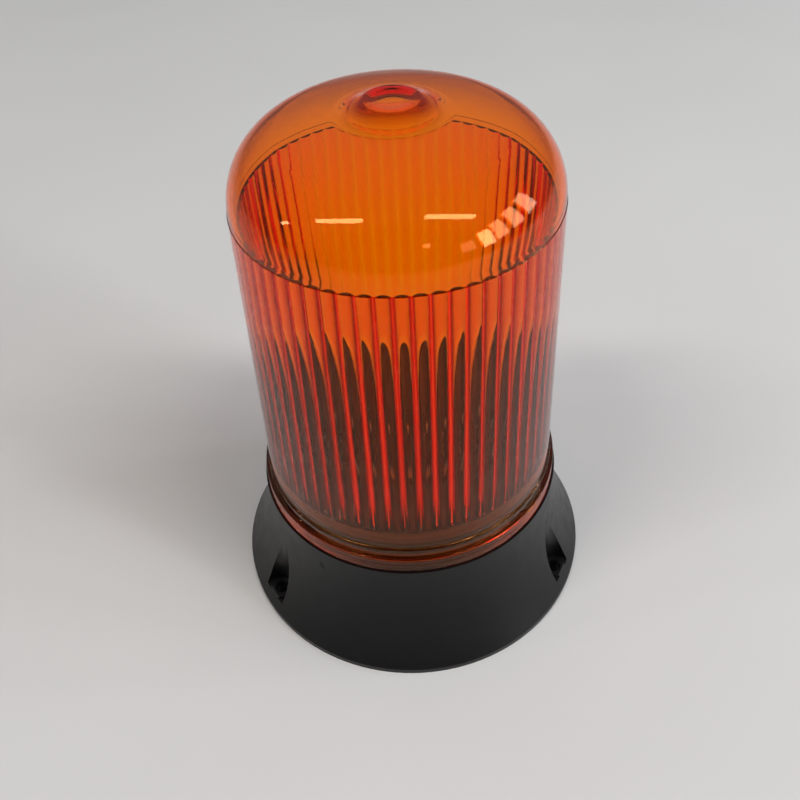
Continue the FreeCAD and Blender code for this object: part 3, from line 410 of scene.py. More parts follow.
# Two colours, gloss from and to, mottle, grain and its depth in millimetres, metallic and
# specular level.
FINISHES = {
    # Injection-moulded ABS from a lightly textured tool: near black with a broad satin sheen.
    "satin_moulded_black_abs": ("#0D0D0E", "#09090A", 0.3, 0.38, 14.0, 0.5, 0.01, 0.0, 0.22),
    # The same ABS where nobody looks, from a rougher tool: duller and flatter.
    "rough_moulded_black_abs": ("#232425", "#1B1C1D", 0.5, 0.65, 9.0, 0.8, 0.03),
    # Closed-cell EPDM foam, skived: deep matt black with small open cells.
    "skived_epdm_foam": ("#2A2B2C", "#161717", 0.85, 0.95, 2.0, 0.7, 0.12),
    # Compression-moulded rubber: dark grey-black, dull, with a faint bloom.
    "moulded_black_rubber": ("#202122", "#2C2D2E", 0.62, 0.78, 5.0, 0.4, 0.01),
    # Pressed steel sheet, electrocoated: an even, smooth black with a low sheen.
    "electrocoated_pressed_steel": ("#191A1C", "#111213", 0.4, 0.52, 7.0, 0.6, 0.006),
    # Bar-turned free-cutting steel: bright and fairly smooth.
    "turned_free_cutting_steel": ("#C4C5C6", "#B0B1B2", 0.2, 0.32, 5.0, 0.25, 0.004, 1.0),
    # Hardened spring steel, oil-blackened: dark with a dull gleam.
    "oil_blackened_spring_steel": ("#4A4B4D", "#38393B", 0.34, 0.46, 3.0, 0.2, 0.004, 1.0),
    # Drawn brass with thin nickel plating: warm pale metal, cloudy from handling.
    "nickel_plated_drawn_brass": ("#D9CFAE", "#C6B98F", 0.2, 0.36, 4.0, 0.3, 0.004, 1.0),
    # Paper phenolic laminate, punched: brown, waxy, with a fine fibre.
    "punched_paper_phenolic": ("#6B4226", "#54321B", 0.4, 0.55, 1.5, 0.3, 0.02),
    # Deep-drawn motor can, nickel flashed: smooth grey metal.
    "drawn_motor_steel": ("#AEB1B4", "#9A9DA0", 0.25, 0.38, 9.0, 0.4, 0.004, 1.0),
    # Injection-moulded black acetal: slippery plastic with a waxy sheen on its teeth.
    "moulded_black_acetal": ("#1C1C1D", "#141415", 0.32, 0.44, 6.0, 0.5, 0.008),
    # Moulded green polyamide of a terminal block: matt, slightly mottled.
    "moulded_green_polyamide": ("#2E7A4C", "#286B42", 0.42, 0.55, 4.0, 0.4, 0.01),
    # Shrink-sleeved aluminium capacitor: dark blue film with a plastic gloss.
    "shrink_sleeved_capacitor": ("#1E2A44", "#18233A", 0.22, 0.32, 5.0, 0.6, 0.006),
    # Oil-soaked sintered bronze: brown-gold and grainy from its powder.
    "sintered_oil_bronze": ("#A9794A", "#8C6138", 0.38, 0.55, 1.2, 0.18, 0.03, 1.0),
    # Zinc die-cast weight, black passivated: dark metal with a fine cast skin.
    "black_passivated_die_cast_zinc": ("#3A3B3D", "#2A2B2D", 0.42, 0.55, 3.0, 0.4, 0.02, 1.0),
    # Zinc-plated thread-forming screws: bright, slightly blue.
    "zinc_plated_screw_steel": ("#C6CBD0", "#AEB4BA", 0.22, 0.34, 2.0, 0.2, 0.003, 1.0),
    # Moulded reflector, black on its back: dull so that it makes no second image.
    "moulded_black_reflector_back": ("#1A1A1B", "#121213", 0.45, 0.6, 6.0, 0.5, 0.01),
    # Vacuum-metallised bowl: bright mirror with the faint waves of the moulding.
    "vacuum_metallised_mirror": ("#E6E7E8", "#DDDEE0", 0.03, 0.07, 12.0, 9.0, 0.01, 1.0),
    # Drawn tungsten wire: dark grey and fine.
    "drawn_tungsten_wire": ("#8D8F92", "#7B7D80", 0.3, 0.4, 1.0, 0.1, 0.001, 1.0),
}


def circuit_laminate():
    """Glass-epoxy board with solder resist: green, with the paler lines of its tracks."""
    made, tree = new_material("etched_glass_epoxy_board")
    place = add(tree, "ShaderNodeTexCoord").outputs["Object"]
    tracks = add(tree, "ShaderNodeTexBrick", {
        "Vector": place, "Scale": 1.0, "Mortar Size": 0.9 * MM, "Mortar Smooth": 0.1,
        "Brick Width": 9 * MM, "Row Height": 4 * MM}).outputs["Fac"]
    tint = add(tree, "ShaderNodeMix", {0: tracks, 6: linear("#1F5A38"), 7: linear("#3C8A58")},
               data_type="RGBA")
    relief = add(tree, "ShaderNodeBump", {"Height": tracks, "Distance": 0.05 * MM})
    shaded(tree, {"Base Color": tint.outputs[2], "Roughness": 0.3,
                  "Normal": relief.outputs["Normal"]})
    return made


SPECIAL = {
    "injection_moulded_amber_acrylic": amber_moulding,
    "blown_soda_lime_glass": lamp_glass,
    "etched_glass_epoxy_board": circuit_laminate,
}


def finish(name):
    """The material of that name, made the first time it is asked for."""
    if name in bpy.data.materials:
        return bpy.data.materials[name]
    return SPECIAL[name]() if name in SPECIAL else surface(name, *FINISHES[name])


NODE_FINISHES = {
    "satin_moulded_black_abs": ("base_housing",),
    "rough_moulded_black_abs": ("base_plate", "motor_end_bell"),
    "skived_epdm_foam": ("base_gasket",),
    "moulded_black_rubber": ("cable_grommet", "lens_seal"),
    "electrocoated_pressed_steel": ("chassis_plate", "motor_clamp", "reflector_bracket"),
    "turned_free_cutting_steel": ("lamp_post", "idler_pin", "motor_shaft"),
    "oil_blackened_spring_steel": ("post_circlip", "idler_clip"),
    "nickel_plated_drawn_brass": ("lamp_holder",),
    "punched_paper_phenolic": ("lamp_insulator",),
    "drawn_motor_steel": ("motor_can",),
    "moulded_black_acetal": ("ring_gear", "idler_gear", "drive_pinion"),
    "moulded_green_polyamide": ("terminal_block",),
    "shrink_sleeved_capacitor": ("capacitor",),
    "sintered_oil_bronze": ("rotor_bush",),
    "black_passivated_die_cast_zinc": ("counterweight",),
    "etched_glass_epoxy_board": ("circuit_board",),
    "blown_soda_lime_glass": ("bulb_glass",),
}


# ---- lens

FOOT_WIDTH = 3.3 * MM  # of the foot ring
FOOT_STEP = 1.65 * MM  # in from the foot ring to the collar
COLLAR_STEP = 0.8 * MM  # in from the collar to the wall
SEAM_STEP = 0.25 * MM  # in from the wall to the dome, at the moulding line
BOSS_RISE = 2.9 * MM  # of the boss over the crown
FLARE_RADIUS = 15.3 * MM  # where the boss's cone meets the crown
HOLLOW_RADIUS = 12.0 * MM  # of the hollow under the boss
HOLLOW_RISE = 2.0 * MM
HOLLOW_EDGE = 0.7  # degrees of the crown that the hollow's edge takes
SHOULDER_STEPS, CROWN_STEPS, INNER_CROWN_STEPS = 18, 6, 5
WALL_INSET = 6.2 * MM  # in from the foot to the ribs' roots
WALL_LEAN, WALL_RUN = 3.3 * MM, 0.107  # the inner wall leans in so far over that height
WALL_SLACK = 2.0 * MM  # how far outside the inner wall a point still counts as on it
TOP_EDGE = 0.02 * MM  # height of the step at the ribs' top
RIB_SMOOTH_ANGLE = 40  # degrees
COLUMN_STEPS = 5  # mesh columns on each side of a rib
# Heights of the mesh rings over the ribs' round low end, by the rib's height.
LOW_END_RINGS = (1.0, 0.86, 0.72, 0.58, 0.45, 0.33, 0.22, 0.12, 0.04, 0.0)
LUG_COUNT, LUG_STEPS = 3, 6
LUG_START, LUG_SPAN = 78, 14  # degrees
LUG_LOW, LUG_HIGH = 2.9 * MM, 5.7 * MM  # over the lens's lowest edge
LUG_INNER_RADIUS = 53.6 * MM
LUG_INSET = 2.9 * MM  # in from the foot's radius to the lugs' outer side


def lens_outlines(sizes):
    """Outer and inner outline of the lens, foot to crown, in metres."""
    low, wall, foot, seam_z = LENS_LOW.z, sizes.wall, sizes.foot_radius, sizes.seam_height
    collar = foot - FOOT_STEP
    wall_foot = collar - COLLAR_STEP
    wall_top = wall_foot - sizes.taper
    seam = wall_top - SEAM_STEP
    foot_in = foot - FOOT_WIDTH
    shoulder = (seam - sizes.shoulder_radius, seam_z)
    reach = sizes.crown_radius - sizes.shoulder_radius
    crown = (0.0, seam_z - math.sqrt(reach ** 2 - shoulder[0] ** 2))
    meet = math.degrees(math.atan2(shoulder[1] - crown[1], shoulder[0]))
    crown_z = crown[1] + sizes.crown_radius
    flare_angle = math.degrees(math.acos(FLARE_RADIUS / sizes.crown_radius))
    flare_z = crown[1] + math.sqrt(sizes.crown_radius ** 2 - FLARE_RADIUS ** 2)
    top = crown_z + BOSS_RISE

    skirt = rounded([
        (foot_in, low, 0), (foot, low, 0.4 * MM), (foot - 0.35 * MM, low + 6.3 * MM, 0.6 * MM),
        (collar, low + 6.6 * MM, 0.25 * MM), (collar - 0.1 * MM, low + 10.7 * MM, 0.7 * MM),
        (wall_foot, low + 11.0 * MM, 0.25 * MM), (wall_top, seam_z - SEAM_STEP, 0.12 * MM),
        (seam, seam_z, 0)])
    dome = arc(shoulder, sizes.shoulder_radius, 0, meet, SHOULDER_STEPS)[1:]
    dome += arc(crown, sizes.crown_radius, meet, flare_angle, CROWN_STEPS)[1:]
    boss = rounded([
        (FLARE_RADIUS, flare_z, 0), (9.4 * MM, top - 0.4 * MM, 0.6 * MM),
        (8.6 * MM, top, 0.4 * MM), (6.7 * MM, top, 0.7 * MM),
        (5.2 * MM, top - 0.35 * MM, 1.2 * MM), (2.6 * MM, top - 0.64 * MM, 1.2 * MM),
        (0.0, top - 0.7 * MM, 0)])[1:]

    ceiling = crown_z - wall
    hollow_angle = math.degrees(math.acos(HOLLOW_RADIUS / (sizes.crown_radius - wall)))
    hollow = rounded([
        (HOLLOW_RADIUS + 1.5 * MM, ceiling - 0.7 * MM, 0), (HOLLOW_RADIUS, ceiling, 1.0 * MM),
        (5.0 * MM, ceiling + HOLLOW_RISE, 1.6 * MM), (0.0, ceiling + HOLLOW_RISE, 0)])[1:]
    inner_dome = arc(shoulder, sizes.shoulder_radius - wall, 0, meet, SHOULDER_STEPS)
    inner_dome += arc(crown, sizes.crown_radius - wall, meet, hollow_angle - HOLLOW_EDGE,
                      INNER_CROWN_STEPS)[1:]
    inside = list(reversed(inner_dome + hollow))[:-1]
    inner_seam = (seam - wall, seam_z)
    inner_foot = (wall_foot - wall, low + 11.5 * MM)
    inside.append(inner_seam)
    heights = [sizes.rib_top + TOP_EDGE, sizes.rib_top]
    heights += [sizes.rib_low + sizes.rib_height * share for share in LOW_END_RINGS]
    for height in heights:
        share = (height - inner_foot[1]) / (seam_z - inner_foot[1])
        inside.append((inner_foot[0] + (inner_seam[0] - inner_foot[0]) * share, height))
    inside += rounded([
        inside[-1] + (0,), inner_foot + (0.6 * MM,), (foot_in, low + 9.9 * MM, 0.6 * MM),
        (foot_in, low + 0.5 * MM, 0)])[1:]
    return skirt + dome + boss, inside


def rib_tree():
    """Tree that draws the inner wall in by the round section of each rib."""
    tree, given = new_tree("inner_ribs", "Count", "Height", "Low End", "Top End", "Wall Radius")
    x, y, z = point_axes(tree)
    # Ribs touch each other, and one stands at the front.
    turn = (y.done("ARCTAN2", x) + math.pi / 2) / (2 * math.pi)
    share = (turn * given("Count") + 1.5).done("FRACT")
    half = given("Wall Radius") * math.pi / given("Count")
    side = (share - 0.5).done("ABSOLUTE") * (half * 2.0)
    height = given("Height")
    bend = (half * half + height * height) / (height * 2.0)
    crown = (bend * bend - side * side).done("MAXIMUM", 0.0).done("SQRT")
    rise = (crown - bend + height).done("MAXIMUM", 0.0)
    # The low end is round too, and the top is square.
    below = 1.0 - (z - given("Low End")).done("DIVIDE", height, use_clamp=True)
    under_top = z.done("LESS_THAN", given("Top End") + 1e-6)
    inner = add(tree, "GeometryNodeInputNamedAttribute", {"Name": "inner"},
                data_type="FLOAT").outputs["Attribute"]
    rise = rise * (1.0 - below * below).done("SQRT") * under_top * inner
    radius = (x * x + y * y).done("SQRT")
    flat = add(tree, "ShaderNodeCombineXYZ", {"X": x, "Y": y})
    shift = add(tree, "ShaderNodeVectorMath", {
        0: flat.outputs[0], "Scale": rise * -1.0 / radius.done("MAXIMUM", 1e-4)},
        operation="SCALE")
    moved = add(tree, "GeometryNodeSetPosition", {
        "Geometry": given("Geometry"), "Offset": shift.outputs[0]})
    return close_tree(tree, given, moved.outputs[0])


def rib_columns(sizes, wall_radius):
    """Angles of the mesh columns: even steps of slope over each rib's round section."""
    half = math.pi * wall_radius / sizes.rib_count
    bend = (half ** 2 + sizes.rib_height ** 2) / (2 * sizes.rib_height)
    steep = math.asin(half / bend)
    offsets = [bend * math.sin(steep * (i / COLUMN_STEPS - 1)) for i in range(2 * COLUMN_STEPS)]
    return [-math.pi / 2 + (2 * i * half + offset) / wall_radius
            for i in range(sizes.rib_count) for offset in offsets]


def bayonet_lugs(sizes):
    """Vertices and faces of the lugs inside the foot."""
    low, high = LENS_LOW.z + LUG_LOW, LENS_LOW.z + LUG_HIGH
    outer = sizes.foot_radius - LUG_INSET
    corners = ((LUG_INNER_RADIUS, low), (outer, low), (outer, high), (LUG_INNER_RADIUS, high))
    verts, faces = [], []
    for lug in range(LUG_COUNT):
        start = math.radians(LUG_START + 360 / LUG_COUNT * lug)
        first = len(verts)
        for i in range(LUG_STEPS + 1):
            a = start + math.radians(LUG_SPAN) * i / LUG_STEPS
            verts += [(radius * math.cos(a), radius * math.sin(a), height)
                      for radius, height in corners]
        for i in range(LUG_STEPS):
            at = first + 4 * i
            faces += [(at + k, at + 4 + k, at + 4 + (k + 1) % 4, at + (k + 1) % 4)
                      for k in range(4)]
        faces.append(tuple(first + k for k in (3, 2, 1, 0)))
        faces.append(tuple(first + 4 * LUG_STEPS + k for k in (0, 1, 2, 3)))
    return verts, faces


class BEACON_OT_lens(bpy.types.Operator):
    """Make the amber lens with its inner ribs"""

    bl_idname = "beacon.lens"
    bl_label = "Lens"

    def execute(self, context):
        sizes = settings("beacon_lens")
        outside, inside = lens_outlines(sizes)
        wall_radius = sizes.foot_radius - WALL_INSET
        angles = rib_columns(sizes, wall_radius)
        verts, faces = revolved(outside + inside, angles, True)
        wall = mesh_from("lens_wall", verts, faces)
        inner_low = sizes.rib_low - MM
        attribute = wall.attributes.new("inner", "FLOAT", "POINT")
        for vert in wall.vertices:
            radius = math.hypot(vert.co.x, vert.co.y)
            middle = wall_radius + WALL_SLACK - (vert.co.z - inner_low) / WALL_RUN * WALL_LEAN
            is_inner = inner_low < vert.co.z < sizes.seam_height - MM and radius < middle
            attribute.data[vert.index].value = 1.0 if is_inner else 0.0
        moulding = grown("lens_moulding", wall, rib_tree(), {
            "Count": float(sizes.rib_count), "Height": sizes.rib_height, "Low End": sizes.rib_low,
            "Top End": sizes.rib_top, "Wall Radius": wall_radius,
            "Material": finish("injection_moulded_amber_acrylic")})
        work = bmesh.new()
        work.from_mesh(moulding)
        lug_verts, lug_faces = bayonet_lugs(sizes)
        made = [work.verts.new(co) for co in lug_verts]
        for face in lug_faces:
            work.faces.new([made[i] for i in face])
        bmesh.ops.recalc_face_normals(work, faces=work.faces)
        work.to_mesh(moulding)
        work.free()
        moulding.shade_smooth()
        moulding.set_sharp_from_angle(angle=math.radians(RIB_SMOOTH_ANGLE))
        piece = new_piece("lens_moulding", moulding, [])
        piece.modifiers.new("even_shading", "WEIGHTED_NORMAL").keep_sharp = True
        put_on(piece, "lens", ["lens"])
        return {"FINISHED"}


# ---- rotor

BOWL_FOCUS = 11.5 * MM  # of the bowl's parabola, from its lowest point
BOWL_RADIUS = 25.2 * MM
BOWL_SLACK = 0.25 * MM  # how far off the parabola a face still counts as on it
BOWL_MERGE = 2e-6
BOWL_SMOOTH_ANGLE = 30  # degrees


class BEACON_OT_reflector(bpy.types.Operator):
    """Give the reflector its mirror inside and its black back"""

    bl_idname = "beacon.reflector"
    bl_label = "Reflector"

    def execute(self, context):
        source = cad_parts["reflector"]
        mesh = source.data.copy()
        mesh.name = "reflector_bowl"
        mesh.materials.clear()
        if "custom_normal" in mesh.attributes:
            mesh.attributes.remove(mesh.attributes["custom_normal"])
        work = bmesh.new()
        work.from_mesh(mesh)
        bmesh.ops.remove_doubles(work, verts=work.verts, dist=BOWL_MERGE)
        for face in work.faces:
            centre = face.calc_center_median()
            radius = math.hypot(centre.x, centre.z - LAMP_HEIGHT)
            miss = abs(centre.y + BOWL_FOCUS - radius ** 2 / (4 * BOWL_FOCUS))
            on_bowl = miss < BOWL_SLACK and radius < BOWL_RADIUS
            face.material_index = 1 if on_bowl and face.normal.y > 0.2 else 0
        work.to_mesh(mesh)
        work.free()
        mesh.shade_smooth()
        mesh.set_sharp_from_angle(angle=math.radians(BOWL_SMOOTH_ANGLE))
        piece = new_piece("reflector_bowl", mesh, [
            finish("moulded_black_reflector_back"), finish("vacuum_metallised_mirror")])
        put_on(piece, "rotor", ["reflector"])
        return {"FINISHED"}


# ---- lamp

def coil_tree():
    """Tree that winds a wire into a coil along X about the lamp's middle."""
    tree, given = new_tree("filament_coil", "Turns", "Coil Radius", "Length", "Wire Radius",
                           "Height")
    spiral = add(tree, "GeometryNodeCurveSpiral", {
        "Resolution": 14, "Rotations": given("Turns"), "Start Radius": given("Coil Radius"),
        "End Radius": given("Coil Radius"), "Height": given("Length")})
    section = add(tree, "GeometryNodeCurvePrimitiveCircle", {
        "Resolution": 6, "Radius": given("Wire Radius")})
    wire = add(tree, "GeometryNodeCurveToMesh", {
        "Curve": spiral.outputs[0], "Profile Curve": section.outputs[0], "Fill Caps": True})
    along = add(tree, "ShaderNodeCombineXYZ", {
        "X": given("Length") * -0.5, "Z": given("Height")})
    laid = add(tree, "GeometryNodeTransform", {
        "Geometry": wire.outputs[0], "Translation": along.outputs[0],
        "Rotation": (0.0, math.pi / 2, 0.0)})
    return close_tree(tree, given, laid.outputs[0])


def tube(points, radius, sides=8):
    """Vertices and faces of a round wire through points."""
    verts, faces = [], []
    points = [Vector(p) for p in points]
    for i, point in enumerate(points):
        ahead = points[min(i + 1, len(points) - 1)] - points[max(i - 1, 0)]
        turn = Vector((0, 0, 1)).rotation_difference(ahead.normalized())
        for k in range(sides):
            a = 2 * math.pi * k / sides
            verts.append(point + turn @ Vector((radius * math.cos(a), radius * math.sin(a), 0)))
    for i in range(len(points) - 1):
        for k in range(sides):
            a, b = i * sides + k, i * sides + (k + 1) % sides
            faces.append((a, b, b + sides, a + sides))
    faces.append(tuple(reversed(range(sides))))
    faces.append(tuple(range((len(points) - 1) * sides, len(points) * sides)))
    return verts, faces


def joined(parts):
    """One list of vertices and faces from several."""
    verts, faces = [], []
    for more_verts, more_faces in parts:
        base = len(verts)
        verts += list(more_verts)
        faces += [tuple(base + i for i in face) for face in more_faces]
    return verts, faces


class BEACON_OT_lamp(bpy.types.Operator):
    """Make the lamp's cap, filament and the wires that hold it"""

    bl_idname = "beacon.lamp"
    bl_label = "Lamp"

    def execute(self, context):
        sizes = settings("beacon_lamp")
        seed = mesh_from("coil_seed", [(0, 0, 0)], [])
        coil = grown("lamp_filament", seed, coil_tree(), {
            "Turns": float(sizes.coil_turns), "Coil Radius": sizes.coil_radius,
            "Length": sizes.coil_length, "Wire Radius": sizes.wire_radius, "Height": LAMP_HEIGHT,
            "Material": finish("drawn_tungsten_wire")})
        put_on(new_piece("lamp_filament", coil, []), "base", [])

        reach = sizes.coil_length / 2
        leads = [tube([
            (side * 1.6 * MM, 0, CAP_HIGH.z - 0.5 * MM),
            (side * 1.7 * MM, 0, LAMP_HEIGHT - 8 * MM),
            (side * 2.2 * MM, 0, LAMP_HEIGHT - 5 * MM),
            (side * reach, 0, LAMP_HEIGHT - 1.2 * MM),
            (side * reach, 0, LAMP_HEIGHT + 0.4 * MM)], sizes.lead_radius) for side in (-1, 1)]
        bead = rounded([
            (0, CAP_HIGH.z, 0), (3.2 * MM, CAP_HIGH.z, 0.3 * MM),
            (2.4 * MM, CAP_HIGH.z + 3 * MM, 1 * MM), (0, CAP_HIGH.z + 3.4 * MM, 0)])
        leads.append(revolved(bead, even_angles(24), False))
        mount = mesh_from("lamp_mount", *joined(leads))
        put_on(new_piece("lamp_mount", mount, [finish("nickel_plated_drawn_brass")]), "base", [])

        radius = CAP_HIGH.x
        low, high = CAP_LOW.z, CAP_HIGH.z
        shell = rounded([
            (0, low + 0.8 * MM, 0), (radius - 1.6 * MM, low + 0.8 * MM, 0.4 * MM),
            (radius, low + 2.8 * MM, 0.7 * MM), (radius, high - 0.6 * MM, 0.5 * MM),
            (radius - 0.9 * MM, high, 0.3 * MM), (0, high, 0)])
        contact = rounded([
            (0, low, 0), (1.6 * MM, low, 0.8 * MM), (2.2 * MM, low + 0.6 * MM, 0.3 * MM),
            (2.0 * MM, low + 1.0 * MM, 0), (0, low + 1.0 * MM, 0)])
        cap = mesh_from("lamp_cap", *joined([
            revolved(shell, even_angles(64), False),
            revolved(contact, even_angles(32), False)]))
        put_on(new_piece("lamp_cap", cap, [finish("nickel_plated_drawn_brass")]),
               "base", ["bulb_cap"])
        return {"FINISHED"}


# ---- screws

HEAD_STRAIGHT, HEAD_ROUNDING = 0.35, 1.2  # share of the head that is straight, and its bend above
RECESS_TALL, RECESS_LIFT = 1.4, 1.15  # the recess's cutter, by the head's height
CORE_SHARE, RIDGE_SHARE, RIDGE_SIZE = 0.8, 0.84, 0.16  # by the shank's radius
THREAD_RUN, THREAD_DROP = 0.92, -0.97  # its length and lower end, by the shank's length
SCREW_SMOOTH_ANGLE = 35  # degrees
FIRST_SPIN, NEXT_SPIN = 25, 47  # degrees that a screw's recess is turned by
DOWN, UP, BACK = Vector((0, 0, -1)), Vector((0, 0, 1)), Vector((0, 1, 0))
SCREW_SETS = (
    # piece, body, CAD nodes, where the shanks point
    ("plate_screws", "base", ("plate_screw_1", "plate_screw_2", "plate_screw_3"), UP),
    ("chassis_screws", "base", ("chassis_screw_1", "chassis_screw_2", "chassis_screw_3"), DOWN),
    ("clamp_screws", "base", ("clamp_screw_1", "clamp_screw_2"), UP),
    ("board_screws", "base", ("board_screw_1", "board_screw_2"), UP),
    ("bracket_screws", "rotor", ("bracket_screw_1", "bracket_screw_2"), DOWN),
    ("weight_screws", "rotor", ("weight_screw_1", "weight_screw_2"), DOWN),
    ("bowl_screw", "rotor", ("reflector_screw",), BACK),
)


def screw_tree():
    """Tree that sets a pan-head screw with a cross recess and a thread on each point."""
    tree, given = new_tree("pan_head_screws", "Head Radius", "Head Height", "Shank Radius",
                           "Length", "Thread Pitch", "Recess Length", "Recess Width")
    high, shank, length = given("Head Height"), given("Shank Radius"), given("Length")
    head = add(tree, "GeometryNodeMeshCylinder", {
        "Vertices": 40, "Side Segments": 7, "Radius": given("Head Radius"), "Depth": high})
    x, y, z = point_axes(tree)
    bend = (z / high + 0.5 - HEAD_STRAIGHT).done("MAXIMUM", 0.0) * HEAD_ROUNDING
    narrow = (1.0 - bend * bend).done("SQRT")
    pan = add(tree, "ShaderNodeCombineXYZ", {
        "X": x * narrow, "Y": y * narrow, "Z": z + high * 0.5})
    head = add(tree, "GeometryNodeSetPosition", {
        "Geometry": head.outputs["Mesh"], "Position": pan.outputs[0]})
    size = add(tree, "ShaderNodeCombineXYZ", {
        "X": given("Recess Length"), "Y": given("Recess Width"), "Z": high * RECESS_TALL})
    slot = add(tree, "GeometryNodeMeshCube", {"Size": size.outputs[0]})
    up = add(tree, "ShaderNodeCombineXYZ", {"Z": high * RECESS_LIFT})
    for turn in (0.0, math.pi / 2):
        cutter = add(tree, "GeometryNodeTransform", {
            "Geometry": slot.outputs["Mesh"], "Translation": up.outputs[0],
            "Rotation": (0.0, 0.0, turn)})
        head = add(tree, "GeometryNodeMeshBoolean", {
            "Mesh 1": head.outputs[0], "Mesh 2": cutter.outputs[0]}, operation="DIFFERENCE")
    core = add(tree, "GeometryNodeMeshCylinder", {
        "Vertices": 24, "Radius": shank * CORE_SHARE, "Depth": length})
    down = add(tree, "ShaderNodeCombineXYZ", {"Z": length * -0.5})
    core = add(tree, "GeometryNodeTransform", {
        "Geometry": core.outputs["Mesh"], "Translation": down.outputs[0]})
    run, ridge = length * THREAD_RUN, shank * RIDGE_SHARE
    helix = add(tree, "GeometryNodeCurveSpiral", {
        "Resolution": 20, "Rotations": run / given("Thread Pitch"), "Start Radius": ridge,
        "End Radius": ridge, "Height": run})
    section = add(tree, "GeometryNodeCurvePrimitiveCircle", {
        "Resolution": 3, "Radius": shank * RIDGE_SIZE})
    thread = add(tree, "GeometryNodeCurveToMesh", {
        "Curve": helix.outputs[0], "Profile Curve": section.outputs[0], "Fill Caps": True})
    drop = add(tree, "ShaderNodeCombineXYZ", {"Z": length * THREAD_DROP})
    thread = add(tree, "GeometryNodeTransform", {
        "Geometry": thread.outputs[0], "Translation": drop.outputs[0]})
    whole = add(tree, "GeometryNodeJoinGeometry")
    for part in (head, core, thread):
        tree.links.new(part.outputs[0], whole.inputs[0])
    turn = add(tree, "GeometryNodeInputNamedAttribute", {"Name": "turn"},
               data_type="FLOAT_VECTOR").outputs["Attribute"]
    points = add(tree, "GeometryNodeMeshToPoints", {"Mesh": given("Geometry")})
    set_out = add(tree, "GeometryNodeInstanceOnPoints", {
        "Points": points.outputs[0], "Instance": whole.outputs[0], "Rotation": turn})
    return close_tree(tree, given, set_out.outputs[0])


class BEACON_OT_screws(bpy.types.Operator):
    """Make the screws with their heads, recesses and threads"""

    bl_idname = "beacon.screws"
    bl_label = "Screws"

    def execute(self, context):
        sizes = settings("beacon_screws")
        tree = screw_tree()
        for name, body, nodes, pointing in SCREW_SETS:
            seats, turns, length = [], [], 0.0
            for index, node in enumerate(nodes):
                low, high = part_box(node)
                extent = abs((high - low).dot(pointing))
                length = extent - sizes.head_height
                seats.append((low + high) / 2 + pointing * (sizes.head_height - extent / 2))
                spin = Matrix.Rotation(math.radians(FIRST_SPIN + NEXT_SPIN * index), 3, "Z")
                aim = DOWN.rotation_difference(pointing).to_matrix()
                turns.append((aim @ spin).to_euler())
            seed = bpy.data.meshes.new(name + "_seats")
            seed.from_pydata(seats, [], [])
            attribute = seed.attributes.new("turn", "FLOAT_VECTOR", "POINT")
            for point, turn in zip(attribute.data, turns):
                point.vector = turn
            mesh = grown(name, seed, tree, {
                "Head Radius": sizes.head_radius, "Head Height": sizes.head_height,
                "Shank Radius": sizes.shank_radius, "Length": length,
                "Thread Pitch": sizes.thread_pitch, "Recess Length": sizes.recess_length,
                "Recess Width": sizes.recess_width,
                "Material": finish("zinc_plated_screw_steel")})
            finish_mesh(mesh, SCREW_SMOOTH_ANGLE)
            put_on(new_piece(name, mesh, []), body, nodes)
        return {"FINISHED"}


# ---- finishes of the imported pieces

class BEACON_OT_finishes(bpy.types.Operator):
    """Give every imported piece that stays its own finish"""

    bl_idname = "beacon.finishes"
    bl_label = "Finishes"

    def execute(self, context):
        for name, nodes in NODE_FINISHES.items():
            for node in nodes:
                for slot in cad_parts[node].material_slots:
                    slot.material = finish(name)
        return {"FINISHED"}


# ---- stage

CLOUD_SIZE, CLOUD_SHADE = 180.0, 0.965  # the table's clouds: millimetres, and how dark
TABLE_RINGS, TABLE_SIDES = (0.0, 0.5, 2.0, 6.0), 96
EYE_LEVEL, OVERHEAD = 0.05, 0.6  # heights of a direction in the room, from 0 to 1
VIEWER_SIDE = (0.0, -0.97, 0.25)
FRONT_EDGE, FRONT_FULL = 0.45, 0.8  # how far a direction points to the viewer's side
CAMERA_PLACE = (0.0, -0.2423, 0.3272)
CAMERA_PITCH, CAMERA_YAW, CAMERA_ROLL = 0.791, -0.011, -0.058  # radians
BEACON_MIDDLE = Vector((0.0, 0.0, 0.15))
LAMPS = (
    # name, two ends, width, watts, colour: ceiling tubes in a row, then the panes of a window
    ("tube_left", (-2.10, -0.73, 2.4), (-0.69, -0.80, 2.4), 0.26, 25, "#FFF8F0"),
    ("tube_right", (0.52, -0.74, 2.4), (2.06, -1.00, 2.4), 0.26, 27, "#FFF8F0"),
    ("tube_far_left", (-5.6, -0.50, 2.4), (-4.2, -0.60, 2.4), 0.26, 25, "#FFF8F0"),
    ("pane_1", (2.5, -1.60, 0.5), (2.5, -1.60, 1.6), 0.46, 30, "#F4F8FF"),
    ("pane_2", (2.5, -1.00, 0.5), (2.5, -1.00, 1.6), 0.42, 13, "#F4F8FF"),
    ("pane_3", (2.5, -0.38, 0.5), (2.5, -0.38, 1.6), 0.42, 12, "#F4F8FF"),
    ("pane_4", (2.5, 0.24, 0.5), (2.5, 0.24, 1.6), 0.42, 11, "#F4F8FF"),
    ("blind", (2.5, -2.60, 0.8), (2.5, -2.60, 1.6), 0.6, 5, "#F4F8FF"),
    ("wall_lamp", (0.72, -2.55, 1.75), (0.96, -2.50, 1.75), 0.3, 1.6, "#FFF8F0"),
)


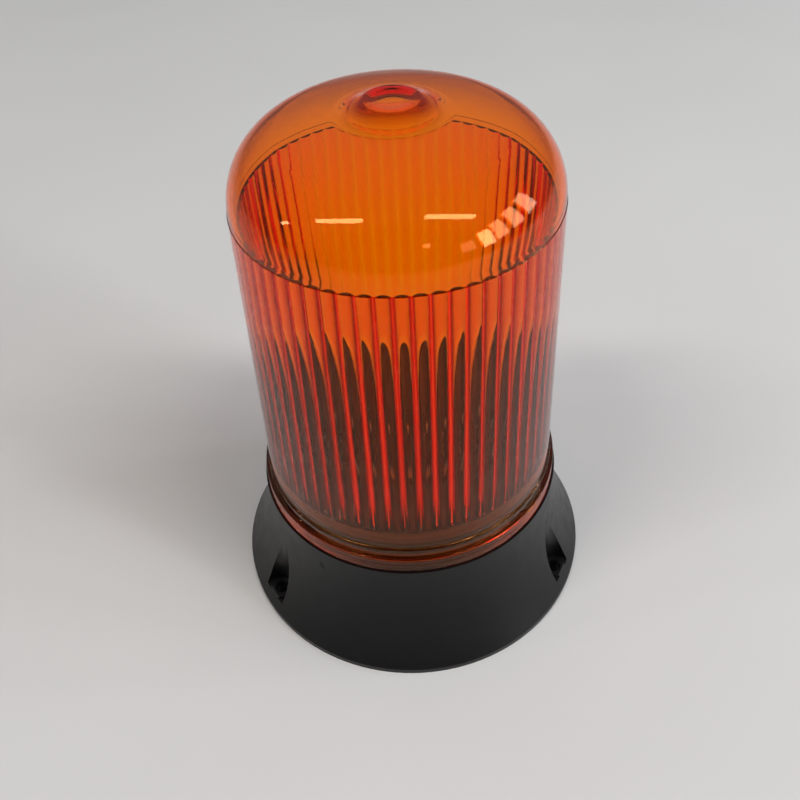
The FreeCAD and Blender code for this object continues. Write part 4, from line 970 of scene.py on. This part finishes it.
def painted_table(sizes):
    """Sprayed white board: pale and dull, faintly clouded, and whiter where glass shows it."""
    made, tree = new_material("sprayed_white_board")
    place = add(tree, "ShaderNodeTexCoord").outputs["Object"]
    colour = tuple(sizes.table_colour)
    shade = tuple(c * CLOUD_SHADE for c in colour[:3]) + (1.0,)
    noise = add(tree, "ShaderNodeTexNoise", {
        "Vector": place, "Scale": 1.0 / (CLOUD_SIZE * MM), "Detail": 2.0})
    patches = add(tree, "ShaderNodeMapRange", {
        "Value": noise.outputs["Fac"], "From Min": NOISE_LOW, "From Max": NOISE_HIGH})
    mottled = add(tree, "ShaderNodeMix", {0: patches.outputs["Result"], 6: colour, 7: shade},
                  data_type="RGBA")
    through = add(tree, "ShaderNodeLightPath").outputs["Is Transmission Ray"]
    seen = add(tree, "ShaderNodeMix", {
        0: through, 6: mottled.outputs[2], 7: tuple(sizes.table_through)}, data_type="RGBA")
    shaded(tree, {"Base Color": seen.outputs[2], "Roughness": 0.55, "Specular IOR Level": 0.35})
    return made


def room(sizes):
    """World that is grey at eye level, paler overhead and dark on the viewer's side."""
    world = bpy.data.worlds.new("room")
    bpy.context.scene.world = world
    world.use_nodes = True
    tree = world.node_tree
    tree.nodes.clear()
    direction = add(tree, "ShaderNodeTexCoord").outputs["Generated"]
    height = add(tree, "ShaderNodeSeparateXYZ", {0: direction}).outputs["Z"]
    overhead = add(tree, "ShaderNodeMapRange", {
        "Value": height, "From Min": EYE_LEVEL, "From Max": OVERHEAD})
    around = add(tree, "ShaderNodeMix", {
        0: overhead.outputs["Result"], 6: tuple(sizes.horizon_colour),
        7: tuple(sizes.ceiling_colour)}, data_type="RGBA")
    facing = add(tree, "ShaderNodeVectorMath", {0: direction, 1: VIEWER_SIDE},
                 operation="DOT_PRODUCT").outputs["Value"]
    near = add(tree, "ShaderNodeMapRange", {
        "Value": facing, "From Min": FRONT_EDGE, "From Max": FRONT_FULL},
        interpolation_type="SMOOTHSTEP")
    colour = add(tree, "ShaderNodeMix", {
        0: near.outputs["Result"], 6: around.outputs[2], 7: tuple(sizes.front_colour)},
        data_type="RGBA")
    light = add(tree, "ShaderNodeBackground", {
        "Color": colour.outputs[2], "Strength": sizes.room_strength})
    add(tree, "ShaderNodeOutputWorld", {"Surface": light.outputs[0]})


def lamp_panel(name, start, end, width, watts, colour):
    """Rectangular lamp from end to end, turned to the beacon and out of the camera's sight."""
    start, end = Vector(start), Vector(end)
    along = (end - start).normalized()
    back = (start + end) / 2 - BEACON_MIDDLE
    back = (back - along * back.dot(along)).normalized()
    light = bpy.data.lights.new(name, "AREA")
    light.shape = "RECTANGLE"
    light.size, light.size_y = (end - start).length, width
    light.energy = watts
    light.color = linear(colour)[:3]
    made = bpy.data.objects.new(name, light)
    turn = Matrix((along, back.cross(along), back)).transposed()
    made.matrix_world = Matrix.Translation((start + end) / 2) @ turn.to_4x4()
    made.visible_camera = False
    made.visible_transmission = not name.startswith("tube")
    bpy.context.scene.collection.objects.link(made)


def camera(sizes):
    """Camera above and in front of the beacon, looking down at it."""
    data = bpy.data.cameras.new("camera")
    data.sensor_width = 36.0
    data.lens = sizes.focal_length
    data.clip_start, data.clip_end = 0.01, 100.0
    made = bpy.data.objects.new("camera", data)
    bpy.context.scene.collection.objects.link(made)
    pitch, yaw, roll = CAMERA_PITCH, CAMERA_YAW, CAMERA_ROLL
    ahead = Vector((math.sin(yaw) * math.cos(pitch), math.cos(yaw) * math.cos(pitch),
                    -math.sin(pitch)))
    right = Vector((math.cos(yaw), -math.sin(yaw), 0.0))
    up = right.cross(ahead)
    across = right * math.cos(roll) + up * math.sin(roll)
    over = up * math.cos(roll) - right * math.sin(roll)
    turn = Matrix((across, over, -ahead)).transposed()
    made.matrix_world = Matrix.Translation(CAMERA_PLACE) @ turn.to_4x4()
    bpy.context.scene.camera = made


class BEACON_OT_stage(bpy.types.Operator):
    """Make the table, the room, the lamps and the camera"""

    bl_idname = "beacon.stage"
    bl_label = "Stage"

    def execute(self, context):
        sizes = settings("beacon_stage")
        rings = [(radius, 0.0) for radius in TABLE_RINGS]
        table = mesh_from("table", *revolved(rings, even_angles(TABLE_SIDES), False))
        floor = new_piece("table", table, [painted_table(sizes)])
        room(sizes)
        for name, start, end, width, watts, colour in LAMPS:
            lamp_panel(name, start, end, width, watts, colour)
        camera(sizes)
        context.scene.view_settings.view_transform = "Standard"
        return {"FINISHED"}


# ---- add-on

class BEACON_PT_panel(bpy.types.Panel):
    """Sizes and operators of the beacon, in the order in which they run"""

    bl_idname = "BEACON_PT_panel"
    bl_label = "Rotating Beacon"
    bl_space_type = "VIEW_3D"
    bl_region_type = "UI"
    bl_category = "Beacon"

    def draw(self, context):
        for name in GROUPS:
            box = self.layout.box()
            group = getattr(context.scene, name)
            for key in group.bl_rna.properties.keys():
                if key not in ("rna_type", "name"):
                    box.prop(group, key)
        for operator in OPERATORS:
            self.layout.operator(operator.bl_idname)


GROUPS = {
    "beacon_lens": BeaconLensSizes,
    "beacon_lamp": BeaconLampSizes,
    "beacon_screws": BeaconScrewSizes,
    "beacon_stage": BeaconStageSizes,
}
OPERATORS = (BEACON_OT_stage, BEACON_OT_lens, BEACON_OT_reflector, BEACON_OT_lamp,
             BEACON_OT_screws, BEACON_OT_finishes)


def register():
    for kind in (*GROUPS.values(), *OPERATORS, BEACON_PT_panel):
        bpy.utils.register_class(kind)
    for name, group in GROUPS.items():
        setattr(bpy.types.Scene, name, PointerProperty(type=group))


def unregister():
    for name in GROUPS:
        delattr(bpy.types.Scene, name)
    for kind in reversed((*GROUPS.values(), *OPERATORS, BEACON_PT_panel)):
        bpy.utils.unregister_class(kind)


def main():
    register()
    bpy.ops.beacon.stage()
    bpy.ops.beacon.lens()
    bpy.ops.beacon.reflector()
    bpy.ops.beacon.lamp()
    bpy.ops.beacon.screws()
    bpy.ops.beacon.finishes()


if __name__ == "__main__":
    main()
